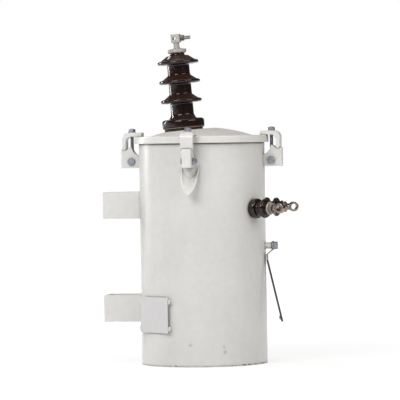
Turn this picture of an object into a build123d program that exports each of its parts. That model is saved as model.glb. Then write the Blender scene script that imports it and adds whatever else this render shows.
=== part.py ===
"""Single-phase pole mounted transformer: round oil tank, bolted cover, bushings and fittings.

Millimetres, +Z up. The origin is the centre of the tank's base, at the level it stands on.
The low-voltage side faces -Y, the pole hangers face +Y and the lifting lugs are on the X axis.
"""

import os
from math import asin, atan2, cos, radians, sin

from build123d import *

os.makedirs("parts", exist_ok=True)

# Tank shell, bottom and the ring welded round its mouth
tank_radius = 174.0
tank_wall = 3.0
tank_height = 622.6
bottom_recess = 20.0
bottom_thickness = 4.0
ring_width = 7.6
ring_height = 10.0
ring_rounding = 1.5

# Cover, its gasket and its turned-down rim
gasket_thickness = 5.0
cover_sheet = 3.0
rim_depth = 20.0
rim_clearance = 1.0
rim_bend = 4.5
dome_radius = 147.0
dome_rise = 16.4

# Pressed pad under the high-voltage bushing, which stands square to the dome
hv_offset = 49.2
pad_rise = 4.4
pad_radius = 60.0
pad_depth = 10.5
pad_taper = 30.0

# High-voltage bushing, measured along its own axis from the top of the pad
hv_gasket_thickness = 6.0
hv_gasket_radius = 53.0
hv_collar_radius = 58.5
hv_collar_top = 28.5
hv_collar_rounding = 6.0
hv_shoulder = 10.0
hv_core_radius = 31.0
hv_core_taper = 1.5
hv_shed_radius = 56.3
hv_shed_tip = 3.4
hv_shed_slope = 19.5
hv_shed_hollow = 1.5
hv_first_shed_height = 77.6
hv_shed_pitch = 53.55
hv_shed_count = 3
hv_neck_radius = 20.5
hv_neck_top = 212.0
hv_shank_radius = 29.0
hv_shank_length = 60.0
hv_hole_clearance = 1.5
hv_cap_radius = 25.0
hv_cap_height = 11.5
hv_stem_radius = 8.5
hv_stem_height = 17.5

# Eyebolt terminal on top of the high-voltage bushing
terminal_width = 25.0
terminal_depth = 24.0
terminal_height = 23.3
eye_thickness = 9.0
eye_radius = 8.5
eye_offset = 3.2
conductor_radius = 4.8
stud_radius = 5.3
stud_reach = 28.0
terminal_nut_size = 16.2
terminal_nut_height = 10.5
slot_clearance = 0.5

# Cover clamps: channel bracket on the wall, hook over the rim, eyebolt and cross bolt
bracket_width = 25.0
bracket_plate = 4.0
bracket_reach = 30.2
bracket_drop = 86.8
bracket_shoulder_height = 31.9
bracket_peak_height = 58.2
bracket_peak_width = 4.8
bracket_arc_radius = 36.0
bracket_bend = 5.0
notch_height = 49.6
notch_width = 21.1
notch_floor_width = 12.3
notch_lip_height = 2.2
notch_lip_thickness = 4.0
hook_width = 35.0
hook_thickness = 11.5
hook_grip = 19.2
hook_bend = 18.0
hook_inner_bend = 13.0
hook_play = 0.3
bolt_rim_gap = 6.0
eyebolt_radius = 5.0
eyebolt_eye_radius = 11.0
eyebolt_eye_thickness = 14.0
eyebolt_nut_size = 17.0
eyebolt_nut_height = 6.8
eyebolt_washer_radius = 10.5
eyebolt_washer_height = 3.0
eyebolt_end = 1.2
pin_rise = 17.7
pin_radius = 6.0
pin_head_size = 18.4
pin_head_height = 8.0
pin_end = 3.0
bolt_clearance = 0.5

# Tongue-shaped lifting lugs: half a pipe, coped to the wall and cut to a slanting edge
lug_radius = 25.5
lug_plate = 5.5
lug_gap = 0.8
lug_slope = 45.0
lug_reach = 41.0
lug_drop = 78.0

# Pole hangers: two channels with a closed upright slot each
hanger_pitch = 285.75
hanger_lower_height = 155.1
hanger_height = 74.0
hanger_width = 95.0
hanger_reach = 101.4
hanger_plate = 6.0
hanger_bend = 9.0
pole_slot_width = 20.6
pole_slot_length = 32.0

# Nameplate and the two strips that hold it off the wall
plate_angle = 140.2
plate_width = 118.0
plate_height = 98.0
plate_centre = 141.5
plate_thickness = 2.0
plate_corner = 3.0
strip_overhang = 6.5
strip_height = 12.0
strip_thickness = 3.3
strip_spacing = 73.0
strip_seat = 0.8

# Low-voltage bushings, measured outward from the wall
lv_height = 429.0
lv_spread = 26.0
lv_gasket_thickness = 4.0
lv_gasket_radius = 24.5
lv_collar_radius = 27.5
lv_collar_end = 18.5
lv_groove_radius = 16.5
lv_shed_radius = 26.5
lv_shed_start = 33.5
lv_shed_end = 46.0
lv_shed_rounding = 6.2
lv_nose_end = 55.0
lv_shank_radius = 15.0
lv_shank_length = 30.0
lv_hole_clearance = 1.0
lv_washer_radius = 18.3
lv_washer_thickness = 3.5
lv_nut_size = 29.5
lv_nut_height = 9.0
lv_stud_radius = 6.5
lv_stud_length = 8.5
lv_socket_radius = 9.5
lv_socket_chamfer = 3.0
lv_eye_overlap = 3.0
lv_eye_radius = 14.0
lv_eye_hole = 8.0
lv_eye_thickness = 13.0
lv_eye_centre = 89.0

# Ground boss, its bolt and the bent copper strap
boss_height = 324.7
boss_radius = 8.75
boss_length = 19.7
ground_bolt_radius = 6.0
ground_washer_radius = 13.0
ground_washer_height = 2.5
ground_head_size = 21.0
ground_head_height = 11.0
ground_bolt_length = 13.0
strap_width = 22.0
strap_thickness = 1.8
strap_top_height = 11.0
strap_knee_drop = 12.0
strap_kink_drop = 12.0
strap_gap = 6.0
strap_hang = 17.0
strap_bend_radius = 3.0
strap_end_reach = 45.5
strap_end_drop = 211.0
strap_nut_size = 11.0
strap_nut_height = 4.5
strap_nut_bore = 3.2
strap_nut_inset = 12.5

# Sizes worked out from the driving ones
tank_inner = tank_radius - tank_wall
ring_radius = tank_radius + ring_width
rim_inner = ring_radius + rim_clearance
rim_radius = rim_inner + cover_sheet
cover_seat = tank_height + gasket_thickness
cover_top = cover_seat + cover_sheet
rim_edge = cover_top - rim_depth
dome_sphere = (dome_radius**2 + dome_rise**2) / (2 * dome_rise)
dome_centre = cover_top + dome_rise - dome_sphere
lean = asin(hv_offset / dome_sphere)
pad_distance = dome_sphere + pad_rise
pad_centre = (0, pad_distance * sin(lean), dome_centre + pad_distance * cos(lean))
hv_axis = Axis(pad_centre, (0, sin(lean), cos(lean)))
hv_section = Plane(origin=pad_centre, x_dir=(1, 0, 0), z_dir=(0, -cos(lean), sin(lean)))
pad_plane = Plane(origin=pad_centre, x_dir=(1, 0, 0), z_dir=(0, sin(lean), cos(lean)))
terminal_base = hv_neck_top + hv_cap_height + hv_stem_height
terminal_middle = terminal_base + terminal_height / 2
clamp_sides = {"right": 0, "back": 90, "left": 180, "front": 270}
bolt_line = rim_radius + bolt_rim_gap + eyebolt_radius
bracket_radius = bolt_line + bracket_reach
bracket_bottom = cover_top - bracket_drop
bracket_shoulder = bracket_bottom + bracket_shoulder_height
bracket_peak = bracket_bottom + bracket_peak_height
notch_floor = bracket_bottom + notch_height
notch_outer = bracket_radius - notch_lip_thickness
notch_inner = notch_outer - notch_width
hook_leg_outer = notch_outer - hook_play
hook_leg_inner = hook_leg_outer - hook_thickness
hook_foot_radius = hook_thickness / 2
hook_elbow = cover_top - hook_inner_bend
hook_tip = rim_radius - hook_grip
hook_top = cover_top + hook_thickness
washer_top = hook_top + eyebolt_washer_height
nut_top = washer_top + eyebolt_nut_height
pin_height = bracket_bottom + pin_rise
lug_top = bracket_bottom - lug_gap
hanger_face = tank_radius + hanger_reach
hanger_heights = {"lower": hanger_lower_height, "upper": hanger_lower_height + hanger_pitch}
lv_sides = {"left": 270 - lv_spread, "right": 270 + lv_spread}
lv_hole_radius = lv_shank_radius + lv_hole_clearance
boss_face = tank_radius + boss_length
strap_face = boss_face + strap_thickness
strap_line = boss_face + strap_thickness / 2
lv_seat = tank_radius + lv_gasket_thickness
lv_nose = tank_radius + lv_nose_end
lv_nut_start = lv_nose + lv_washer_thickness
lv_nut_end = lv_nut_start + lv_nut_height
lv_eye_distance = tank_radius + lv_eye_centre
lv_socket_end = lv_eye_distance - lv_eye_radius + lv_eye_overlap
plate_seat = tank_radius - strip_seat


def radial_plane(angle):
    """Upright plane through the tank's axis: local x points outward and local y points up."""
    turn = radians(angle)
    outward = (cos(turn), sin(turn), 0)
    return Plane(origin=(0, 0, 0), x_dir=outward, z_dir=(sin(turn), -cos(turn), 0))


def level_plane(angle, distance, height):
    """Level plane at a point outward from the tank's axis, with local x pointing outward."""
    turn = radians(angle)
    outward = (cos(turn), sin(turn), 0)
    middle = (distance * cos(turn), distance * sin(turn), height)
    return Plane(origin=middle, x_dir=outward, z_dir=(0, 0, 1))


def wall_plane(angle, height, distance):
    """Upright plane square to a radius, facing outward, with local y pointing up."""
    turn = radians(angle)
    middle = (distance * cos(turn), distance * sin(turn), height)
    return Plane(origin=middle, x_dir=(-sin(turn), cos(turn), 0), z_dir=(cos(turn), sin(turn), 0))


def rounded_disc(start, end, radius):
    """Half outline of a porcelain disc between two distances, with its rim rounded over."""
    inner = lv_height + radius - lv_shed_rounding
    Polyline(
        (start, inner),
        (start, lv_height),
        (end, lv_height),
        (end, inner),
    )
    RadiusArc((end, inner), (end - lv_shed_rounding, lv_height + radius), -lv_shed_rounding)
    Line((end - lv_shed_rounding, lv_height + radius), (start + lv_shed_rounding, lv_height + radius))
    RadiusArc((start + lv_shed_rounding, lv_height + radius), (start, inner), -lv_shed_rounding)


# Tank shell, open at both ends, with a round hole for each low-voltage bushing
with BuildPart() as tank_shell:
    with BuildSketch():
        Circle(tank_radius)
        Circle(tank_inner, mode=Mode.SUBTRACT)
    extrude(amount=tank_height)
    for angle in lv_sides.values():
        with BuildSketch(wall_plane(angle, lv_height, 0)):
            Circle(lv_hole_radius)
        extrude(amount=2 * tank_radius, mode=Mode.SUBTRACT)
tank_shell.part.label = "tank_shell"
export_step(tank_shell.part, "parts/tank_shell.step")

# Flat bottom, set up inside the shell so that the shell's lower edge is a skirt
with BuildPart() as tank_bottom:
    with BuildSketch(Plane.XY.offset(bottom_recess)):
        Circle(tank_inner)
    extrude(amount=bottom_thickness)
tank_bottom.part.label = "tank_bottom"
export_step(tank_bottom.part, "parts/tank_bottom.step")

# Ring round the mouth of the tank, which the cover's rim hides
with BuildPart() as tank_top_ring:
    with BuildSketch(Plane.XY.offset(tank_height - ring_height)):
        Circle(ring_radius)
        Circle(tank_radius, mode=Mode.SUBTRACT)
    extrude(amount=ring_height)
    outer_edges = tank_top_ring.edges().filter_by(GeomType.CIRCLE).sort_by(SortBy.RADIUS)[-2:]
    fillet(outer_edges, ring_rounding)
tank_top_ring.part.label = "tank_top_ring"
export_step(tank_top_ring.part, "parts/tank_top_ring.step")

# Gasket on the tank's mouth
with BuildPart() as cover_gasket:
    with BuildSketch(Plane.XY.offset(tank_height)):
        Circle(ring_radius - ring_rounding)
        Circle(tank_inner, mode=Mode.SUBTRACT)
    extrude(amount=gasket_thickness)
cover_gasket.part.label = "cover_gasket"
export_step(cover_gasket.part, "parts/cover_gasket.step")

# Hollow under the cover: the space inside its dome, margin, rim and pressed pad
with BuildPart() as cover_hollow:
    with Locations(Location((0, 0, dome_centre), (0, 90, 0))):
        Sphere(dome_sphere - cover_sheet)
    with BuildSketch(Plane.XY.offset(cover_seat)):
        Circle(dome_radius)
    extrude(amount=2 * dome_rise, mode=Mode.INTERSECT)
    with BuildSketch(Plane.XY.offset(rim_edge)):
        Circle(rim_inner)
    extrude(amount=cover_seat - rim_edge)
    hollow_rims = cover_hollow.edges().filter_by(GeomType.CIRCLE).group_by(SortBy.RADIUS)[-1]
    fillet(hollow_rims.sort_by(Axis.Z)[-1], rim_bend - cover_sheet)
    with BuildSketch(pad_plane.offset(-cover_sheet)):
        Circle(pad_radius - cover_sheet)
    extrude(amount=-pad_depth, taper=-pad_taper)
    with BuildSketch(pad_plane):
        Circle(hv_shank_radius + hv_hole_clearance)
    extrude(amount=-pad_depth)

# Domed cover with its rim turned down and a pressed pad for the bushing
with BuildPart() as cover:
    with Locations(Location((0, 0, dome_centre), (0, 90, 0))):
        Sphere(dome_sphere)
    with BuildSketch(Plane.XY.offset(cover_top)):
        Circle(dome_radius)
    extrude(amount=2 * dome_rise, mode=Mode.INTERSECT)
    with BuildSketch(Plane.XY.offset(rim_edge)):
        Circle(rim_radius)
    extrude(amount=rim_depth)
    cover_rims = cover.edges().filter_by(GeomType.CIRCLE).group_by(SortBy.RADIUS)[-1]
    fillet(cover_rims.sort_by(Axis.Z)[-1], rim_bend)
    with BuildSketch(pad_plane):
        Circle(pad_radius)
    extrude(amount=-pad_depth, taper=-pad_taper)
    add(cover_hollow.part, mode=Mode.SUBTRACT)
cover.part.label = "cover"
export_step(cover.part, "parts/cover.step")

# Gasket between the pad and the high-voltage bushing
with BuildPart() as hv_gasket:
    with BuildSketch(pad_plane):
        Circle(hv_gasket_radius)
        Circle(hv_shank_radius + hv_hole_clearance, mode=Mode.SUBTRACT)
    extrude(amount=hv_gasket_thickness)
hv_gasket.part.label = "hv_gasket"
export_step(hv_gasket.part, "parts/hv_gasket.step")

# Porcelain: shank through the cover, collar, tapering core with drooping sheds, neck
shed_tips = [hv_first_shed_height + index * hv_shed_pitch for index in range(hv_shed_count)]
core_top_radius = hv_core_radius - hv_core_taper
core_top = shed_tips[-1] + hv_shed_slope
shed_waist = (hv_shed_radius - hv_shed_tip + core_top_radius) / 2
with BuildPart() as hv_porcelain:
    with BuildSketch(hv_section):
        with BuildLine():
            Polyline(
                (0, -hv_shank_length),
                (hv_shank_radius, -hv_shank_length),
                (hv_shank_radius, hv_gasket_thickness),
                (hv_collar_radius, hv_gasket_thickness),
                (hv_collar_radius, hv_collar_top - hv_collar_rounding),
            )
            RadiusArc(
                (hv_collar_radius, hv_collar_top - hv_collar_rounding),
                (hv_collar_radius - hv_collar_rounding, hv_collar_top),
                -hv_collar_rounding,
            )
            Line(
                (hv_collar_radius - hv_collar_rounding, hv_collar_top),
                (hv_core_radius + hv_shoulder, hv_collar_top),
            )
            RadiusArc(
                (hv_core_radius + hv_shoulder, hv_collar_top),
                (hv_core_radius, hv_collar_top + hv_shoulder),
                hv_shoulder,
            )
            Polyline(
                (hv_core_radius, hv_collar_top + hv_shoulder),
                (core_top_radius, shed_tips[-1]),
                (hv_neck_radius, core_top),
                (hv_neck_radius, hv_neck_top),
                (0, hv_neck_top),
                (0, -hv_shank_length),
            )
        make_face()
        for tip in shed_tips:
            with BuildLine():
                Line((0, tip - hv_shed_tip), (hv_shed_radius - hv_shed_tip, tip - hv_shed_tip))
                ThreePointArc(
                    (hv_shed_radius - hv_shed_tip, tip - hv_shed_tip),
                    (hv_shed_radius, tip),
                    (hv_shed_radius - hv_shed_tip, tip + hv_shed_tip),
                )
                ThreePointArc(
                    (hv_shed_radius - hv_shed_tip, tip + hv_shed_tip),
                    (shed_waist, tip + (hv_shed_tip + hv_shed_slope) / 2 - hv_shed_hollow),
                    (core_top_radius, tip + hv_shed_slope),
                )
                Polyline(
                    (core_top_radius, tip + hv_shed_slope),
                    (0, tip + hv_shed_slope),
                    (0, tip - hv_shed_tip),
                )
            make_face()
    revolve(axis=hv_axis)
hv_porcelain.part.label = "hv_porcelain"
export_step(hv_porcelain.part, "parts/hv_porcelain.step")

# Metal cap on the porcelain's neck, with the stem that carries the terminal
with BuildPart() as hv_cap:
    with BuildSketch(pad_plane.offset(hv_neck_top)):
        Circle(hv_cap_radius)
    extrude(amount=hv_cap_height)
    fillet(hv_cap.edges(), hv_cap_height / 6)
    with BuildSketch(pad_plane.offset(hv_neck_top + hv_cap_height)):
        Circle(hv_stem_radius)
    extrude(amount=hv_stem_height)
hv_cap.part.label = "hv_cap"
export_step(hv_cap.part, "parts/hv_cap.step")

# Terminal block: a slotted body that the eyebolt draws the conductor into
terminal_plane = pad_plane.offset(terminal_base)
cross_plane = Plane(
    origin=hv_axis.position + hv_axis.direction * terminal_middle,
    x_dir=(0, -cos(lean), sin(lean)),
    z_dir=(-1, 0, 0),
)
eye_x = -eye_offset
with BuildPart() as hv_terminal_block:
    with BuildSketch(terminal_plane):
        Rectangle(terminal_depth, terminal_width)
    extrude(amount=terminal_height)
    fillet(hv_terminal_block.edges().filter_by(Axis(pad_centre, hv_axis.direction)), 3)
    with BuildSketch(cross_plane):
        with Locations((eye_x - terminal_width / 2, 0)):
            Rectangle(terminal_width, 2 * terminal_height)
        with Locations((eye_x, 0)):
            Circle(eye_radius + slot_clearance)
    extrude(amount=eye_thickness / 2 + slot_clearance, both=True, mode=Mode.SUBTRACT)
    with BuildSketch(cross_plane):
        with Locations((eye_x, 0)):
            Circle(conductor_radius)
    extrude(amount=terminal_depth, both=True, mode=Mode.SUBTRACT)
    with BuildSketch(Plane(origin=cross_plane.origin, x_dir=(1, 0, 0), z_dir=cross_plane.x_dir)):
        Circle(stud_radius + slot_clearance)
    extrude(amount=terminal_width, mode=Mode.SUBTRACT)
hv_terminal_block.part.label = "hv_terminal_block"
export_step(hv_terminal_block.part, "parts/hv_terminal_block.step")

# Eyebolt through the block: its eye takes the conductor and its thread comes out beside
stud_plane = Plane(origin=cross_plane.origin, x_dir=(1, 0, 0), z_dir=cross_plane.x_dir)
with BuildPart() as hv_eyebolt:
    with BuildSketch(cross_plane):
        with Locations((eye_x, 0)):
            Circle(eye_radius)
    extrude(amount=eye_thickness / 2, both=True)
    with BuildSketch(stud_plane):
        Circle(stud_radius)
    extrude(amount=terminal_width / 2 + stud_reach)
    with BuildSketch(cross_plane):
        with Locations((eye_x, 0)):
            Circle(conductor_radius)
    extrude(amount=eye_thickness, both=True, mode=Mode.SUBTRACT)
hv_eyebolt.part.label = "hv_eyebolt"
export_step(hv_eyebolt.part, "parts/hv_eyebolt.step")

# Nut that draws the eyebolt tight
with BuildPart() as hv_terminal_nut:
    with BuildSketch(stud_plane.offset(terminal_width / 2)):
        RegularPolygon(terminal_nut_size / 2, 6, major_radius=False)
        Circle(stud_radius, mode=Mode.SUBTRACT)
    extrude(amount=terminal_nut_height)
hv_terminal_nut.part.label = "hv_terminal_nut"
export_step(hv_terminal_nut.part, "parts/hv_terminal_nut.step")

# Cover clamps, four alike round the rim
for side, angle in clamp_sides.items():
    section = radial_plane(angle)

    with BuildPart() as clamp_bracket:
        with BuildSketch(section):
            with BuildLine():
                Polyline(
                    (tank_inner, bracket_shoulder),
                    (tank_inner, bracket_bottom),
                    (bracket_radius, bracket_bottom),
                    (bracket_radius, notch_floor + notch_lip_height),
                    (notch_outer, notch_floor + notch_lip_height),
                    (notch_outer, notch_floor),
                    (notch_outer - notch_floor_width, notch_floor),
                    (notch_inner, bracket_peak),
                    (notch_inner - bracket_peak_width, bracket_peak),
                )
                RadiusArc(
                    (notch_inner - bracket_peak_width, bracket_peak),
                    (tank_radius, bracket_shoulder),
                    bracket_arc_radius,
                )
                Line((tank_radius, bracket_shoulder), (tank_inner, bracket_shoulder))
            make_face()
        extrude(amount=bracket_width / 2, both=True)
        web = clamp_bracket.faces().sort_by(Axis((0, 0, 0), section.x_dir))[-1]
        fillet(web.edges().filter_by(Axis.Z), bracket_bend)
        with BuildSketch(section):
            with BuildLine():
                Polyline(
                    (0, bracket_bottom - bracket_plate),
                    (bracket_radius - bracket_plate, bracket_bottom - bracket_plate),
                    (bracket_radius - bracket_plate, bracket_peak + bracket_plate),
                    (0, bracket_peak + bracket_plate),
                    close=True,
                )
            make_face()
        extrude(amount=bracket_width / 2 - bracket_plate, both=True, mode=Mode.SUBTRACT)
        with BuildSketch(section):
            with Locations((bolt_line, pin_height)):
                Circle(pin_radius + bolt_clearance)
        extrude(amount=bracket_width, both=True, mode=Mode.SUBTRACT)
        with BuildSketch():
            Circle(tank_radius)
        extrude(amount=tank_height, mode=Mode.SUBTRACT)
    clamp_bracket.part.label = f"clamp_bracket_{side}"
    export_step(clamp_bracket.part, f"parts/clamp_bracket_{side}.step")

    with BuildPart() as clamp_hook:
        with BuildSketch(section):
            with BuildLine():
                Polyline(
                    (hook_leg_outer - hook_bend, hook_top),
                    (hook_tip, hook_top),
                    (hook_tip, cover_top),
                    (hook_leg_inner - hook_inner_bend, cover_top),
                )
                RadiusArc(
                    (hook_leg_inner - hook_inner_bend, cover_top),
                    (hook_leg_inner, hook_elbow),
                    hook_inner_bend,
                )
                Line((hook_leg_inner, hook_elbow), (hook_leg_inner, notch_floor + hook_foot_radius))
                ThreePointArc(
                    (hook_leg_inner, notch_floor + hook_foot_radius),
                    (hook_leg_inner + hook_foot_radius, notch_floor),
                    (hook_leg_outer, notch_floor + hook_foot_radius),
                )
                Line((hook_leg_outer, notch_floor + hook_foot_radius), (hook_leg_outer, hook_top - hook_bend))
                RadiusArc(
                    (hook_leg_outer, hook_top - hook_bend),
                    (hook_leg_outer - hook_bend, hook_top),
                    -hook_bend,
                )
            make_face()
        extrude(amount=hook_width / 2, both=True)
        with BuildSketch(level_plane(angle, bolt_line, hook_elbow)):
            Circle(eyebolt_radius + bolt_clearance)
        extrude(amount=hook_top - hook_elbow, mode=Mode.SUBTRACT)
    clamp_hook.part.label = f"clamp_hook_{side}"
    export_step(clamp_hook.part, f"parts/clamp_hook_{side}.step")

    with BuildPart() as clamp_bolt:
        with BuildSketch(section):
            with Locations((bolt_line, pin_height)):
                Circle(eyebolt_eye_radius)
        extrude(amount=eyebolt_eye_thickness / 2, both=True)
        with BuildSketch(level_plane(angle, bolt_line, pin_height)):
            Circle(eyebolt_radius)
        extrude(amount=nut_top + eyebolt_end - pin_height)
        with BuildSketch(level_plane(angle, bolt_line, hook_top)):
            Circle(eyebolt_washer_radius)
        extrude(amount=eyebolt_washer_height)
        with BuildSketch(level_plane(angle, bolt_line, washer_top)):
            RegularPolygon(eyebolt_nut_size / 2, 6, major_radius=False)
        extrude(amount=eyebolt_nut_height)
        with BuildSketch(section):
            with Locations((bolt_line, pin_height)):
                Circle(pin_radius + bolt_clearance)
        extrude(amount=eyebolt_eye_thickness, both=True, mode=Mode.SUBTRACT)
    clamp_bolt.part.label = f"clamp_bolt_{side}"
    export_step(clamp_bolt.part, f"parts/clamp_bolt_{side}.step")

    with BuildPart() as clamp_pin:
        with BuildSketch(section.offset(bracket_width / 2)):
            with Locations((bolt_line, pin_height)):
                RegularPolygon(pin_head_size / 2, 6, major_radius=False)
        extrude(amount=pin_head_height)
        with BuildSketch(section.offset(-bracket_width / 2)):
            with Locations((bolt_line, pin_height)):
                RegularPolygon(pin_head_size / 2, 6, major_radius=False)
        extrude(amount=-pin_head_height)
        with BuildSketch(section.offset(bracket_width / 2)):
            with Locations((bolt_line, pin_height)):
                Circle(pin_radius)
        extrude(amount=-bracket_width - pin_head_height - pin_end)
    clamp_pin.part.label = f"clamp_pin_{side}"
    export_step(clamp_pin.part, f"parts/clamp_pin_{side}.step")

# Lifting lugs under the two side clamps
for side in ("left", "right"):
    turn = radians(clamp_sides[side])
    slope = radians(lug_slope)
    top_point = (tank_radius * cos(turn), tank_radius * sin(turn), lug_top)
    pipe_plane = Plane(
        origin=top_point,
        x_dir=(-sin(turn), cos(turn), 0),
        z_dir=(cos(slope) * cos(turn), cos(slope) * sin(turn), -sin(slope)),
    )
    edge_plane = Plane(
        origin=top_point,
        x_dir=(-sin(turn), cos(turn), 0),
        z_dir=(lug_drop * cos(turn), lug_drop * sin(turn), lug_reach),
    )
    with BuildPart() as lifting_lug:
        with BuildSketch(pipe_plane.offset(-2 * lug_radius)):
            Circle(lug_radius)
            Circle(lug_radius - lug_plate, mode=Mode.SUBTRACT)
        extrude(amount=4 * lug_radius + lug_drop)
        split(bisect_by=edge_plane, keep=Keep.BOTTOM)
        with BuildSketch():
            Circle(tank_radius)
        extrude(amount=tank_height, mode=Mode.SUBTRACT)
    lifting_lug.part.label = f"lifting_lug_{side}"
    export_step(lifting_lug.part, f"parts/lifting_lug_{side}.step")

# Pole hangers: channels coped to the tank, with their flat web against the pole
for level, height in hanger_heights.items():
    base = Plane.XY.offset(height - hanger_height / 2)
    with BuildPart() as hanger:
        with BuildSketch(base) as outside:
            with Locations((0, hanger_face / 2)):
                Rectangle(hanger_width, hanger_face)
            fillet(outside.vertices().sort_by(Axis.Y)[-2:], hanger_bend)
        extrude(amount=hanger_height)
        with BuildSketch(base) as inside:
            with Locations((0, (hanger_face - hanger_plate) / 2)):
                Rectangle(hanger_width - 2 * hanger_plate, hanger_face - hanger_plate)
            fillet(inside.vertices().sort_by(Axis.Y)[-2:], hanger_bend - hanger_plate)
        extrude(amount=hanger_height, mode=Mode.SUBTRACT)
        with BuildSketch():
            Circle(tank_radius)
        extrude(amount=tank_height, mode=Mode.SUBTRACT)
        with BuildSketch(Plane(origin=(0, hanger_face, height), x_dir=(0, 0, 1), z_dir=(0, 1, 0))):
            SlotOverall(pole_slot_length, pole_slot_width)
        extrude(amount=-hanger_plate, mode=Mode.SUBTRACT)
    hanger.part.label = f"hanger_{level}"
    export_step(hanger.part, f"parts/hanger_{level}.step")

# Two level strips on the wall that carry the nameplate
with BuildPart() as nameplate_strips:
    with BuildSketch(wall_plane(plate_angle, plate_centre, plate_seat)):
        with Locations((0, strip_spacing / 2), (0, -strip_spacing / 2)):
            Rectangle(plate_width + 2 * strip_overhang, strip_height)
    extrude(amount=strip_thickness)
    with BuildSketch():
        Circle(tank_radius)
    extrude(amount=tank_height, mode=Mode.SUBTRACT)
nameplate_strips.part.label = "nameplate_strips"
export_step(nameplate_strips.part, "parts/nameplate_strips.step")

# Flat blank nameplate
with BuildPart() as nameplate:
    with BuildSketch(wall_plane(plate_angle, plate_centre, plate_seat + strip_thickness)):
        RectangleRounded(plate_width, plate_height, plate_corner)
    extrude(amount=plate_thickness)
nameplate.part.label = "nameplate"
export_step(nameplate.part, "parts/nameplate.step")

# Low-voltage bushings on the front of the tank
for side, angle in lv_sides.items():
    section = radial_plane(angle)
    outward = (cos(radians(angle)), sin(radians(angle)), 0)
    lv_axis = Axis((0, 0, lv_height), outward)

    with BuildPart() as lv_gasket:
        with BuildSketch(wall_plane(angle, lv_height, tank_inner)):
            Circle(lv_gasket_radius)
            Circle(lv_hole_radius, mode=Mode.SUBTRACT)
        extrude(amount=lv_seat - tank_inner)
        with BuildSketch():
            Circle(tank_radius)
        extrude(amount=tank_height, mode=Mode.SUBTRACT)
    lv_gasket.part.label = f"lv_gasket_{side}"
    export_step(lv_gasket.part, f"parts/lv_gasket_{side}.step")

    with BuildPart() as lv_porcelain:
        with BuildSketch(section):
            with BuildLine():
                Polyline(
                    (lv_seat - lv_shank_length, lv_height),
                    (lv_seat - lv_shank_length, lv_height + lv_shank_radius),
                    (lv_seat, lv_height + lv_shank_radius),
                    (lv_seat, lv_height + lv_groove_radius),
                    (lv_nose, lv_height + lv_groove_radius),
                    (lv_nose, lv_height),
                    close=True,
                )
            make_face()
            with BuildLine():
                rounded_disc(lv_seat, tank_radius + lv_collar_end, lv_collar_radius)
            make_face()
            with BuildLine():
                rounded_disc(tank_radius + lv_shed_start, tank_radius + lv_shed_end, lv_shed_radius)
            make_face()
        revolve(axis=lv_axis)
    lv_porcelain.part.label = f"lv_porcelain_{side}"
    export_step(lv_porcelain.part, f"parts/lv_porcelain_{side}.step")

    with BuildPart() as lv_stud:
        with BuildSketch(wall_plane(angle, lv_height, lv_nose)):
            Circle(lv_washer_radius)
        extrude(amount=lv_washer_thickness)
        with BuildSketch(wall_plane(angle, lv_height, lv_nut_start)):
            RegularPolygon(lv_nut_size / 2, 6, major_radius=False)
        extrude(amount=lv_nut_height)
        with BuildSketch(wall_plane(angle, lv_height, lv_nut_end)):
            Circle(lv_stud_radius)
        extrude(amount=lv_stud_length)
    lv_stud.part.label = f"lv_stud_{side}"
    export_step(lv_stud.part, f"parts/lv_stud_{side}.step")

    with BuildPart() as lv_connector:
        with BuildSketch(wall_plane(angle, lv_height, lv_nut_end)):
            Circle(lv_socket_radius)
        extrude(amount=lv_socket_end - lv_nut_end)
        socket_rims = lv_connector.edges().filter_by(GeomType.CIRCLE).sort_by(lv_axis)
        chamfer(socket_rims[-1], lv_socket_chamfer)
        with BuildSketch(section):
            with Locations((lv_eye_distance, lv_height)):
                Circle(lv_eye_radius)
        extrude(amount=lv_eye_thickness / 2, both=True)
        with BuildSketch(section):
            with Locations((lv_eye_distance, lv_height)):
                Circle(lv_eye_hole)
        extrude(amount=2 * lv_socket_radius, both=True, mode=Mode.SUBTRACT)
        with BuildSketch(wall_plane(angle, lv_height, lv_nut_end)):
            Circle(lv_stud_radius)
        extrude(amount=lv_stud_length, mode=Mode.SUBTRACT)
    lv_connector.part.label = f"lv_connector_{side}"
    export_step(lv_connector.part, f"parts/lv_connector_{side}.step")

# Ground boss on the front of the tank, bored for its bolt
with BuildPart() as ground_boss:
    with BuildSketch(wall_plane(270, boss_height, tank_inner)):
        Circle(boss_radius)
    extrude(amount=boss_face - tank_inner)
    with BuildSketch(wall_plane(270, boss_height, boss_face)):
        Circle(ground_bolt_radius)
    extrude(amount=-ground_bolt_length, mode=Mode.SUBTRACT)
    with BuildSketch():
        Circle(tank_radius)
    extrude(amount=tank_height, mode=Mode.SUBTRACT)
ground_boss.part.label = "ground_boss"
export_step(ground_boss.part, "parts/ground_boss.step")

# Ground bolt with its washer, which pins the strap to the boss
with BuildPart() as ground_bolt:
    with BuildSketch(wall_plane(270, boss_height, strap_face)):
        Circle(ground_washer_radius)
    extrude(amount=ground_washer_height)
    with BuildSketch(wall_plane(270, boss_height, strap_face + ground_washer_height)):
        RegularPolygon(ground_head_size / 2, 6, major_radius=False)
    extrude(amount=ground_head_height)
    with BuildSketch(wall_plane(270, boss_height, strap_face)):
        Circle(ground_bolt_radius)
    extrude(amount=-ground_bolt_length - strap_thickness)
ground_bolt.part.label = "ground_bolt"
export_step(ground_bolt.part, "parts/ground_bolt.step")

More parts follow.
